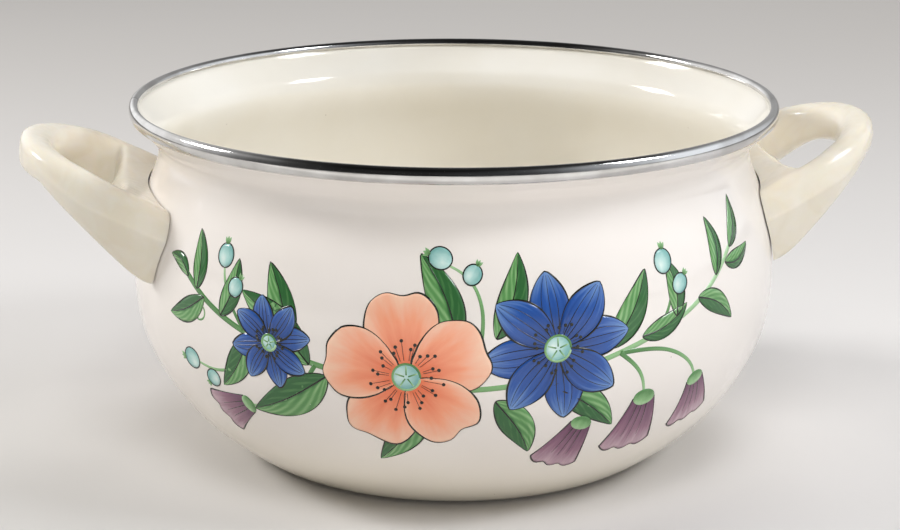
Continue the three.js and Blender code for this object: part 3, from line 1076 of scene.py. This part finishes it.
@dataclass
class HandleFixing:
    """The slotted screws under the handles' bridges; the brackets, washers and nuts stay as solids."""

    screw_r: float = 112.9
    screw_z: float = 85.5
    screw_lean: float = 20.0
    thread_d: float = 4.0
    thread_pitch: float = 0.7
    thread_depth: float = 0.25
    head_d: float = 7.0
    head_low: float = -7.8
    head_high: float = -5.2
    end: float = 6.0
    slot_w: float = 1.2
    slot_depth: float = 1.1
    seat: float = -3.5
    plate_half_w: float = 13.3
    plate_low_z: float = 79.2
    plate_high_z: float = 90.3
    plate_t: float = 1.5
    tongue_half_w: float = 6.8
    tongue_reach: float = 4.0
    tongue_low: float = 0.5
    pocket_high: float = 5.1
    clearance: float = 0.3
    # Lengths by which cutting solids run past what they cut
    sink_run: float = 16.0
    side_run: float = 12.0
    wall_run: float = 30.0
    end_run: float = 1.0
    sharp_angle: float = 35.0
    finish: ZincPlate = ZincPlate()

    def axis(self) -> Matrix:
        """Place of the right handle's screw axis, in metres."""
        place = Matrix.Translation(Vector((self.screw_r, 0.0, self.screw_z)) * MM)
        return place @ Matrix.Rotation(-math.radians(self.screw_lean), 4, "Y")

    def cutters(self, shell: PotShell) -> list[Piece]:
        """Makes the solids that cut the bracket's pocket, the bore and the counterbore.

        Args:
            shell: the pot's shell, which the bracket's plate follows.

        Returns:
            The cutting solids.
        """

        def rod(name: str, radius: float, low: float, high: float, steps: int) -> Piece:
            """A round cutter on the screw's axis."""
            return lathe_object(name, [(0, low), (radius, low), (radius, high), (0, high)], steps)

        plate = shell.fill("plate_cutter", self.plate_t + 2 * self.clearance)
        carve(plate, "INTERSECT", block(
            "plate_limit", (shell.belly_r - self.wall_run, -self.plate_half_w, self.plate_low_z),
            (self.screw_r + self.side_run, self.plate_half_w, self.plate_high_z)))
        pocket = block("pocket_cutter", (-self.side_run, -self.tongue_half_w, self.tongue_low),
                       (self.tongue_reach, self.tongue_half_w, self.pocket_high))
        bore_r, sink_r = self.thread_d / 2 + self.clearance, self.head_d / 2 + 2 * self.clearance
        bore = rod("bore_cutter", bore_r, self.seat - self.end_run, self.end + self.clearance, 32)
        sink = rod("sink_cutter", sink_r, self.seat - self.sink_run, self.seat, 48)
        for piece in (pocket, bore, sink):
            piece.data.transform(self.axis())
        return [plate, pocket, bore, sink]

    def build(self, tree: Tree, nodes: dict[str, Piece]) -> list[Piece]:
        """Makes both screws and dresses the solids of the other fixings.

        Args:
            tree: the tree that repeats a piece about the axis.
            nodes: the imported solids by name.

        Returns:
            The screws' piece and the dressed solids.
        """
        zinc = self.finish.material()
        r, h, low, high = self.thread_d / 2, self.head_d / 2, self.head_low, self.head_high
        rows = [(0, low), (h - 0.7, low), (h - 0.35, low + 0.08), (h - 0.08, low + 0.35), (h, low + 0.7),
                (h, high - 0.1), (h - 0.1, high), (r, high)]
        for i in range(int((self.end - 0.8 - high) / self.thread_pitch)):
            z = high + 0.2 + i * self.thread_pitch
            rows += [(r - self.thread_depth, z), (r, z + self.thread_pitch / 2)]
        rows += [(r - 0.3, self.end - 0.3), (r - 0.6, self.end), (0, self.end)]
        screws = lathe_object("handle_screws", rows, 48)
        carve(screws, "DIFFERENCE", block(
            "slot_cutter", (-h - self.end_run, -self.slot_w / 2, low - self.end_run),
            (h + self.end_run, self.slot_w / 2, low + self.slot_depth)))
        screws.data.transform(self.axis())
        soften(screws, self.sharp_angle)
        run_nodes(screws, tree, {"Count": 2, "Material": zinc})
        pieces = [settle(screws, "zinc_steel", "handle_screw_right", "handle_screw_left")]
        for stem in ("handle_bracket", "lock_washer", "square_nut"):
            for side in ("right", "left"):
                node = nodes[f"{stem}_{side}"]
                dress(node, zinc)
                LOG.info("%s: dressed solid", node.name)
                pieces.append(node)
        return pieces


class InkName(Enum):
    """The inks of the printed flowers; each is one piece."""

    STEM = "print_stems"
    LEAF = "print_leaves"
    BERRY = "print_berries"
    MAUVE = "print_mauve"
    BLUE = "print_blue"
    CORAL = "print_coral"
    LINE = "print_lines"


INKS = {
    InkName.STEM: Ink("ink_stem_green", Brush.PETAL, "#56894F", "#86B57A", "#B4D8A9", 3.0),
    InkName.LEAF: Ink("ink_leaf_green", Brush.LEAF, "#35683A", "#679E5E", "#B4D6A0", 5.0),
    InkName.BERRY: Ink("ink_aqua", Brush.ROUND, "#7FB7B2", "#B3DAD4", "#E2F3EC", 3.0),
    InkName.MAUVE: Ink("ink_mauve", Brush.PETAL, "#6E4560", "#94687F", "#C9A9B4", 9.0),
    InkName.BLUE: Ink("ink_blue", Brush.PETAL, "#1B3774", "#2E58A4", "#84A9DA", 8.0),
    InkName.CORAL: Ink("ink_coral", Brush.PETAL, "#F07A52", "#FFA681", "#FFD2B6", 8.0),
    InkName.LINE: Ink("ink_dark_line", Brush.LINE, "#14160F", "#1D1F18", "#2A2C25", 2.0),
}


@dataclass
class InkSheet:
    """Flat patches of one ink: millimetres on the unrolled wall, with a small thickness."""

    sunk: float = -0.06
    points: list[Array] = field(default_factory=list)
    faces: list[tuple[int, ...]] = field(default_factory=list)
    maps: list[Array] = field(default_factory=list)
    tones: list[Array] = field(default_factory=list)
    count: int = 0

    def add(self, grid: Array, lift: float, tone: float) -> None:
        """Adds one patch as a closed thin plate.

        Args:
            grid: row, column and flat x, y; rows run from base to tip.
            lift: height of the upper face over the wall.
            tone: a number that varies the brush marks from patch to patch.
        """
        rows, columns = grid.shape[:2]
        size = rows * columns
        top = grid_faces(rows, columns, False, False)
        loop = list(range(columns))
        loop += [i * columns + columns - 1 for i in range(1, rows)]
        loop += [(rows - 1) * columns + j for j in range(columns - 2, -1, -1)]
        loop += [i * columns for i in range(rows - 2, 0, -1)]
        faces = [*top, *(tuple(size + k for k in face[::-1]) for face in top)]
        faces += [(a, b, size + b, size + a) for a, b in zip(loop, loop[1:] + loop[:1])]
        across = grid[rows // 2, -1] - grid[rows // 2, 0]
        along = grid[-1, columns // 2] - grid[0, columns // 2]
        if along[0] * across[1] - along[1] * across[0] < 0:
            faces = [face[::-1] for face in faces]
        self.faces += [tuple(self.count + k for k in face) for face in faces]
        u, v = np.meshgrid(np.linspace(0, 1, rows), np.linspace(0, 1, columns), indexing="ij")
        flat = grid.reshape(-1, 2)
        self.points += [np.column_stack([flat, np.full(size, z)]) for z in (lift, self.sunk)]
        self.maps += [np.column_stack([u.ravel(), v.ravel()])] * 2
        self.tones.append(np.full(2 * size, tone))
        self.count += 2 * size

    def build(self, name: str) -> Piece:
        """Makes the flat mesh of the ink, with its map and tones."""
        piece = mesh_object(name, np.concatenate(self.points), self.faces)
        mesh = piece.data
        corners = np.zeros(len(mesh.loops), dtype=np.int32)
        mesh.loops.foreach_get("vertex_index", corners)
        mesh.uv_layers.new(name="UVMap").data.foreach_set("uv", np.concatenate(self.maps)[corners].ravel())
        mesh.attributes.new("tone", "FLOAT", "POINT").data.foreach_set("value", np.concatenate(self.tones))
        mesh.shade_smooth()
        return piece


def turned(points: Array, angle: float, place: Sequence[float]) -> Array:
    """Turns flat points about their origin and moves them."""
    c, s = math.cos(angle), math.sin(angle)
    return points @ np.array([[c, s], [-s, c]]) + np.asarray(place, float)


def heading(angle: float) -> Array:
    """Flat unit vector of an angle in radians."""
    return np.array([math.cos(angle), math.sin(angle)])


def circle(radius: float, count: int, stretch: float = 1.0) -> Array:
    """Points of an almost closed ring about the origin, stretched along x."""
    turn = np.linspace(0, 2 * math.pi, count)[:-1]
    return np.stack([radius * stretch * np.cos(turn), radius * np.sin(turn)], axis=1)


# Width at the start and at the end of each stem, and its points
STEMS = (
    (2.0, 1.6, ((-98, 17), (-84, 9), (-60, 1), (-30, -5), (0, -8), (30, -5), (62, 3), (86, 12), (106, 26))),
    (1.5, 0.8, ((-60, 1), (-72, -8), (-84, -12), (-94, -11))),
    (1.3, 0.7, ((-70, 4), (-78, 16), (-80, 24))),
    (1.5, 0.8, ((-44, -3), (-52, -14), (-62, -20), (-72, -22))),
    (1.5, 0.9, ((52, 0), (60, -8), (63, -18))),
    (1.5, 0.9, ((52, 0), (70, -2), (82, -10), (85, -17))),
    (1.5, 0.9, ((40, -3), (43, -14), (40, -23))),
    (1.3, 0.7, ((66, 4), (72, 16), (70, 24))),
    (1.4, 0.7, ((4, -6), (8, 14), (4, 26), (-4, 31))),
)
# Place, angle, length and width of each leaf
LEAVES = (
    (-97, 16, 158, 13, 5), (-92, 13, 98, 19, 7), (-88, 11, 205, 21, 8), (-80, 7, 72, 20, 7.5),
    (-68, 3, 236, 24, 9), (-54, 1, 106, 27, 10), (-46, -3, 142, 32, 12), (-40, -6, 210, 34, 12.5),
    (-10, -12, 238, 30, 11), (12, -12, 300, 25, 10.5), (30, -8, 322, 29, 10), (0, 6, 112, 30, 10.5),
    (12, 8, 74, 27, 9), (48, 2, 58, 27, 9.5), (60, 4, 22, 20, 7), (74, 8, 100, 19, 7),
    (84, 12, 330, 21, 7.5), (94, 17, 90, 19, 6.5), (100, 20, 10, 17, 6), (104, 24, 62, 18, 6),
)
# Place, radius and angle of each berry
BERRIES = (
    (-96, -11, 3.6, 185), (-80, 26, 3.4, 95), (-74, 17, 2.9, 60), (-86, -15.5, 3.0, 220),
    (70, 26, 3.5, 85), (76, 18, 3.0, 50), (-5, 32.5, 3.4, 160), (5, 27.5, 2.9, 60),
)
# Place, angle and length of each bell
BELLS = ((-72, -22, 205, 17), (63, -17, 268, 21), (85, -15, 285, 18), (41, -23, 250, 19))
# Place, angle, size and hand of each tendril
TENDRILS = ((-88, 11, 250, 10, 1), (90, 14, 285, 9, -1))
# Place, radius and turn of each star blossom
STARS = ((-60, 2, 15, 12), (31, 4, 24, 8))
# Place, radius and turn of the rose
ROSE = (-15, -4, 28, 96)


@dataclass
class FlowerGarland:
    """The printed garland on the belly: wild-rose and star blossoms, bells, lance leaves and berries.

    Flat x runs round the wall from the garland's middle and flat y up it from the garland's own centre line.
    Angles of the marks are degrees. A level is a step in the stack of inks, which lie one over the other.
    """

    middle_x: float = -15.0
    middle_y: float = -1.0
    first_lift: float = 0.02
    step: float = 0.011
    grid_mm: float = 1.1
    line_w: float = 0.55
    thread_w: float = 0.16
    dot_r: float = 0.55
    vein_end_w: float = 0.12
    leaf_bend: float = 1.8
    berry_stretch: float = 1.12
    star_petals: int = 8
    sheets: dict[InkName, InkSheet] = field(default_factory=lambda: {ink: InkSheet() for ink in InkName})
    marks: int = 0

    def put(self, ink: InkName, grid: Array, level: int) -> None:
        """Adds a patch to an ink at a level of the stack."""
        self.marks += 1
        tone = math.modf(self.marks * GOLDEN)[0]
        self.sheets[ink].add(grid + (self.middle_x, self.middle_y), self.first_lift + level * self.step, tone)

    def ribbon(self, ink: InkName, path: Array, width: Array | float, level: int) -> None:
        """Adds a stroke along a path.

        Args:
            ink: the ink.
            path: rows of flat x, y.
            width: full width, alike or point by point.
            level: level of the stack.
        """
        half = np.broadcast_to(np.asarray(width, float), (len(path),))[:, None] / 2
        shares = np.linspace(-1, 1, 4 if np.max(half) > 0.5 else 2)
        self.put(ink, np.stack([path + sideways(path) * half * share for share in shares], axis=1), level)

    def outline(self, grid: Array, level: int, width: float | None = None) -> None:
        """Draws a dark line round a patch, from its base round its tip and back."""
        edge = np.concatenate([grid[:, 0], grid[-1, 1:-1], grid[::-1, -1]])
        run = run_along(edge)
        even = np.linspace(0, run[-1], max(8, int(run[-1] / self.grid_mm)))
        path = np.column_stack([np.interp(even, run, edge[:, 0]), np.interp(even, run, edge[:, 1])])
        swell = 0.75 + 0.35 * np.sin(np.linspace(0, 5 * math.pi, len(path)) + self.marks)
        self.ribbon(InkName.LINE, path, (width or self.line_w) * swell, level)

    def veins(self, grid: Array, first: float, last: float, width: float, level: int) -> None:
        """Draws three veins along a petal, from one share of its length to another."""
        rows, columns = grid.shape[:2]
        for share in (0.3, 0.5, 0.7):
            vein = grid[int(rows * first):int(rows * last), int(columns * share)]
            self.ribbon(InkName.LINE, vein, np.linspace(width, self.vein_end_w, len(vein)), level)

    def blade(self, length: float, width: float, bend: float, fullness: float, tip: float) -> Array:
        """Makes a leaf-like patch along +x from the origin.

        Args:
            length: length of the spine.
            width: greatest width.
            bend: sideways bow of the spine.
            fullness: where the greatest width lies; more is nearer the tip.
            tip: how blunt the ends are; less is blunter.

        Returns:
            Row, column and flat x, y.
        """
        rows = max(8, int(length / self.grid_mm))
        columns = max(4, int(width / self.grid_mm))
        t = (1 - np.cos(np.linspace(0, math.pi, rows))) / 2
        spine = np.stack([length * t, bend * np.sin(math.pi * t)], axis=1)
        half = width / 2 * np.maximum(np.sin(math.pi * t ** fullness), 1e-4) ** tip + 0.04
        shares = np.linspace(-1, 1, columns)
        return spine[:, None] + sideways(spine)[:, None] * half[:, None, None] * shares[None, :, None]

    def fan(self, length: float, spread: float, notch: float, ruffle: float, phase: float) -> Array:
        """Makes a broad petal along +x from the origin.

        Args:
            length: reach of the petal.
            spread: half angle that it fills.
            notch: depth of the dent in its edge, as a share of its reach.
            ruffle: depth of the edge's waves, as a share of its reach.
            phase: start of those waves.

        Returns:
            Row, column and flat x, y.
        """
        rows = max(8, int(length / self.grid_mm))
        columns = max(8, int(2 * spread * length * 0.8 / self.grid_mm))
        u = np.linspace(0.1, 1.0, rows)[:, None]
        v = np.linspace(-0.985, 0.985, columns)[None, :]
        edge = np.cos(v * math.pi / 2) ** 0.42 * (1 - notch * np.exp(-(v / 0.22) ** 2))
        waves = 1 + ruffle * u ** 3 * (np.sin(v * 9 + phase) + 0.6 * np.sin(v * 17 + 2 * phase))
        reach = length * u * edge * waves
        angle = v * spread * (0.75 + 0.25 * u)
        return np.stack([reach * np.cos(angle), reach * np.sin(angle)], axis=2)

    def disc(self, radius: float, stretch: float = 1.0) -> Array:
        """Makes a round patch about the origin without a pole."""
        count = max(6, int(2.4 * radius / self.grid_mm))
        a, b = np.meshgrid(np.linspace(-1, 1, count), np.linspace(-1, 1, count), indexing="ij")
        x = a * np.sqrt(1 - b ** 2 / 2)
        y = b * np.sqrt(1 - a ** 2 / 2)
        return np.stack([x * radius * stretch, y * radius], axis=2)

    def leaf(self, place: Sequence[float], angle: float, length: float, width: float, level: int) -> None:
        """Prints a lance leaf with its midrib."""
        bend = self.leaf_bend if angle > 180 else -self.leaf_bend
        grid = turned(self.blade(length, width, bend, 0.8, 0.85), math.radians(angle), place)
        self.put(InkName.LEAF, grid, level)
        self.outline(grid, level + 1, self.line_w * 0.7)
        half = grid.shape[1] // 2
        middle = grid[:, half - 1:half + 1].mean(axis=1)
        inner = middle[: int(len(middle) * 0.88)]
        self.ribbon(InkName.LINE, inner, np.linspace(0.6, 0.2, len(inner)), level + 1)

    def berry(self, place: Sequence[float], radius: float, angle: float, level: int) -> None:
        """Prints a round berry with a dark rim and a small crown at its far end."""
        way = math.radians(angle)
        self.put(InkName.BERRY, turned(self.disc(radius, self.berry_stretch), way, place), level)
        rim = turned(circle(radius, 40, self.berry_stretch), way, place)
        self.ribbon(InkName.LINE, rim, self.line_w * 0.75, level + 1)
        barb = self.blade(radius * 0.75, radius * 0.3, 0.0, 0.8, 0.9)
        root = place + radius * heading(way)
        for lean in (-28, 0, 28):
            self.put(InkName.STEM, turned(barb, math.radians(angle + lean), root), level + 1)

    def rose(self, place: Sequence[float], radius: float, turn: float, level: int) -> None:
        """Prints a wild-rose blossom: five dented petals, a green eye and a ring of stamens."""
        for petal, height in ((0, 0), (2, 0), (4, 2), (1, 4), (3, 4)):
            grid = self.fan(radius, math.radians(50), 0.1, 0.014, petal * 1.7)
            grid = turned(grid, math.radians(turn + 72 * petal), place)
            self.put(InkName.CORAL, grid, level + height)
            self.outline(grid, level + height + 1)
        self.eye(place, radius * 0.15, level + 6)
        self.stamens(place, radius * 0.19, radius * 0.42, 30, level + 6)

    def star(self, place: Sequence[float], radius: float, turn: float, level: int) -> None:
        """Prints a star blossom of pointed petals with veins, a pale eye and stamens."""
        petals = range(self.star_petals)
        for petal in (*petals[::2], *petals[1::2]):
            height = level + 3 * (petal % 2)
            grid = self.blade(radius, radius * 0.52, (-1) ** petal * 0.6, 1.15, 0.75)
            grid = turned(grid, math.radians(turn + 360 / self.star_petals * petal), place)
            self.put(InkName.BLUE, grid, height)
            self.outline(grid, height + 1)
            self.veins(grid, 0.2, 0.86, 0.34, height + 1)
        self.eye(place, radius * 0.17, level + 5)
        self.stamens(place, radius * 0.21, radius * 0.36, 20, level + 5)

    def eye(self, place: Sequence[float], radius: float, level: int) -> None:
        """Prints a blossom's green eye with its rim and spokes."""
        self.put(InkName.BERRY, turned(self.disc(radius), 0.4, place), level)
        self.ribbon(InkName.STEM, place + circle(radius, 36), 0.7, level + 1)
        for spoke in range(5):
            line = np.outer(np.linspace(0.15, 0.85, 6) * radius, heading(math.radians(72 * spoke + 20)))
            self.ribbon(InkName.STEM, place + line, 0.45, level + 1)

    def stamens(self, place: Sequence[float], near: float, far: float, count: int, level: int) -> None:
        """Prints stamens round an eye: fine threads that end in dark dots."""
        for i in range(count):
            angle = 2 * math.pi * (i + 0.3 * math.sin(i * 2.4)) / count
            reach = near + (far - near) * (0.35 + 0.65 * math.modf(i * GOLDEN)[0])
            way = heading(angle)
            thread = place + np.outer(np.linspace(near, reach, 5), way)
            self.ribbon(InkName.LINE, thread, self.thread_w, level)
            self.put(InkName.LINE, turned(self.disc(self.dot_r), angle, place + reach * way), level + 1)

    def bell(self, place: Sequence[float], angle: float, length: float, level: int) -> None:
        """Prints a bell flower that opens along its angle: a flared body with lobes and veins, and a cap."""
        u = np.linspace(0.0, 1.0, max(10, int(length / self.grid_mm)))[:, None]
        v = np.linspace(-1.0, 1.0, 17)[None, :]
        half = length * (0.2 + 0.16 * np.sin(u * math.pi * 0.62) + 0.17 * u ** 3)
        lobes = 0.1 * np.abs(np.cos(1.5 * math.pi * v)) * u ** 2
        grid = np.stack([length * (u * (1 - 0.08 * v ** 2) + lobes), half * v], axis=2)
        grid = turned(grid, math.radians(angle), place)
        self.put(InkName.MAUVE, grid, level)
        self.outline(grid, level + 1)
        self.veins(grid, 0.12, 0.8, 0.35, level + 1)
        self.put(InkName.STEM, turned(self.disc(length * 0.2, 0.7), math.radians(angle), place), level + 2)

    def tendril(self, place: Sequence[float], angle: float, size: float, hand: float) -> None:
        """Prints a curling tendril."""
        turn = np.linspace(0, 3.3 * math.pi, 60)
        radius = size * (1 - turn / turn[-1] * 0.86) * 0.4
        around = turn + math.pi
        curl = np.stack([size * 0.5 + radius * np.cos(around), hand * radius * np.sin(around)], axis=1)
        path = turned(curl, math.radians(angle), place)
        self.ribbon(InkName.STEM, path, np.linspace(0.8, 0.4, len(path)), 0)

    def draw(self) -> None:
        """Lays out the whole garland, from the lowest ink to the highest."""
        for start, end, points in STEMS:
            path = smooth_path(points, 14)
            self.ribbon(InkName.STEM, path, np.linspace(start, end, len(path)), 0)
        for x, y, angle, length, width in LEAVES:
            self.leaf((x, y), angle, length, width, 1)
        for x, y, radius, angle in BERRIES:
            self.berry((x, y), radius, angle, 4)
        for x, y, angle, length in BELLS:
            self.bell((x, y), angle, length, 4)
        for x, y, angle, size, hand in TENDRILS:
            self.tendril((x, y), angle, size, hand)
        for x, y, radius, turn in STARS:
            self.star((x, y), radius, turn, 3)
        self.rose(ROSE[:2], *ROSE[2:], 8)

    def build(self, shell: PotShell, tree: Tree) -> list[Piece]:
        """Draws the garland, lays each ink on the wall, front and back, and dresses it.

        Args:
            shell: the pot's shell.
            tree: the wrapping tree.

        Returns:
            One piece for each ink.
        """
        self.draw()
        rows = shell.wall()
        belly = run_along(rows)[np.argmin(np.abs(rows[:, 1] - shell.belly_z))]
        wall = bpy.data.curves.new("wall_path", "CURVE")
        wall.dimensions = "3D"
        spline = wall.splines.new("POLY")
        spline.points.add(len(rows) - 1)
        for point, (r, z) in zip(spline.points, rows):
            point.co = (r * MM, 0.0, z * MM, 1.0)
        guide = add_object("wall_path", wall)
        pieces = []
        for ink, sheet in self.sheets.items():
            piece = sheet.build(ink.value)
            run_nodes(piece, tree, {"Wall": guide, "Belly Radius": shell.belly_r * MM,
                                    "Belly Length": belly * MM, "Sides": 2, "Material": INKS[ink].material()})
            pieces.append(settle(face_outward(piece), "enamel"))
        bpy.data.curves.remove(wall)
        return pieces


@dataclass(frozen=True)
class Lamp:
    """A square soft lamp that hangs round the pot and faces it.

    Its azimuth is measured to the right of the front and its elevation above the table, in degrees.
    """

    name: str
    azimuth: float
    elevation: float
    watts: float
    size: float = 900.0
    distance: float = 1950.0
    mirrored: bool = False
    target_z: float = 60.0
    colour: str = "#FFFFFF"

    def hang(self) -> None:
        """Puts the lamp in the scene; only a mirrored one shows in glossy surfaces."""
        light = bpy.data.lights.new(self.name, "AREA")
        light.shape = "SQUARE"
        light.size = self.size * MM
        light.energy = self.watts
        light.color = linear(self.colour)[:3]
        lamp = add_object(self.name, light)
        lamp.visible_camera = False
        lamp.visible_glossy = self.mirrored
        side, rise = math.radians(self.azimuth), math.radians(self.elevation)
        way = Vector((math.cos(rise) * math.sin(side), -math.cos(rise) * math.cos(side), math.sin(rise)))
        lamp.location = (way * self.distance + Vector((0.0, 0.0, self.target_z))) * MM
        lamp.rotation_euler = way.to_track_quat("Z", "Y").to_euler()


@dataclass
class Studio:
    """The plain pale floor, the surroundings, soft lamps and the camera."""

    floor_r: float = 9000.0
    floor_sides: int = 96
    paper: PaperFloor = PaperFloor()
    # Colours of the surroundings from their left to their right
    tent: tuple[tuple[float, str], ...] = (
        (0.0, "#FFFFFF"), (0.16, "#FFFFFF"), (0.3, "#9C9C9C"), (0.6, "#9C9C9C"), (0.88, "#F4F9FF"))
    tent_level: float = 1.2
    matt_share: float = 0.6
    front_level: float = 0.06
    front_turn: float = 27.0
    front_span: Span = (-0.75, 0.3)
    roof_level: float = 0.08
    roof_span: Span = (0.4, 0.9)
    lamps: tuple[Lamp, ...] = (
        Lamp("right_lamp", 64.7, 39.8, 7.5, 360.0, 1452.0, True, 70.0, "#F8FBFF"),
        Lamp("left_lamp", -109.2, 30.7, 12.0, 360.0, 1471.0, True, 70.0),
        Lamp("side_fill", 40.0, 5.0, 2.2, colour="#F6FAFF"),
        Lamp("front_fill", -5.0, 58.0, 14.8),
        Lamp("low_fill", -12.0, 6.0, 5.4),
        Lamp("back_fill", 150.0, 50.0, 12.0))
    lens: float = 83.508
    sensor: float = 36.0
    clip: Span = (0.01, 40.0)
    camera_out: float = 700.0
    camera_up: float = 262.2
    camera_turn: float = -8.3
    pan: float = -8.2
    pitch: float = 73.85
    roll: float = 0.15

    def build(self) -> None:
        """Makes the floor, the world, the lamps and the camera."""
        self.floor()
        self.world()
        for lamp in self.lamps:
            lamp.hang()
        self.camera()

    def floor(self) -> None:
        """Makes the floor: a wide disc of paper."""
        turn = np.arange(self.floor_sides) / self.floor_sides * 2 * math.pi
        rim = np.stack([self.floor_r * np.cos(turn), self.floor_r * np.sin(turn), 0 * turn], axis=1)
        floor = mesh_object("floor", rim, [tuple(range(self.floor_sides))])
        dress(floor, self.paper.material())

    def world(self) -> None:
        """Makes the surroundings: a tent, white at the sides and grey between, dark overhead and in front.

        Matt surfaces take a smaller share of it than mirrors do.
        """
        world = bpy.data.worlds.new("studio")
        bpy.context.scene.world = world
        world.use_nodes = True
        tree = world.node_tree
        tree.nodes.clear()
        way = add_node(tree, "ShaderNodeTexCoord", output="Generated")
        x, y, z = axes_of(tree, spin(tree, way, math.radians(self.front_turn)))
        sides = ramp(tree, remap(tree, x, (-1.0, 1.0)), *self.tent)
        front = remap(tree, y, self.front_span, (self.front_level, 1.0), True)
        roof = remap(tree, z, self.roof_span, (self.tent_level, self.tent_level * self.roof_level), True)
        mirrored = add_node(tree, "ShaderNodeLightPath", output="Is Glossy Ray")
        share = remap(tree, mirrored, (0.0, 1.0), (self.matt_share, 1.0))
        level = calculate(tree, "MULTIPLY", calculate(tree, "MULTIPLY", front, roof), share)
        sky = add_node(tree, "ShaderNodeBackground", {"Color": sides, "Strength": level})
        add_node(tree, "ShaderNodeOutputWorld", {"Surface": sky})

    def camera(self) -> None:
        """Sets the camera at the photograph's place and angle."""
        data = bpy.data.cameras.new("camera")
        data.sensor_width = self.sensor
        data.lens = self.lens
        data.clip_start, data.clip_end = self.clip
        camera = add_object("camera", data)
        turn = math.radians(self.camera_turn)
        across, back = self.camera_out * math.sin(turn), self.camera_out * math.cos(turn)
        placed = Matrix.Translation(Vector((across, -back, self.camera_up)) * MM)
        for angle, axis in ((self.pan, "Z"), (self.pitch, "X"), (self.roll, "Z")):
            placed = placed @ Matrix.Rotation(math.radians(angle), 4, axis)
        camera.matrix_world = placed
        bpy.context.scene.camera = camera


def main() -> None:
    """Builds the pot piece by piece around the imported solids."""
    logging.basicConfig(level=logging.INFO, format="%(name)s %(message)s")
    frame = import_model()
    bpy.context.scene.view_settings.view_transform = "Standard"
    shell = PotShell()
    revolve = revolve_tree()
    shell.build(revolve)
    RimBand().build(revolve)
    fixing = HandleFixing()
    LoopHandle().build(shell, fixing)
    fixing.build(pair_tree(), frame["nodes"])
    FlowerGarland().build(shell, wrap_tree())
    Studio().build()


if __name__ == "__main__":
    main()
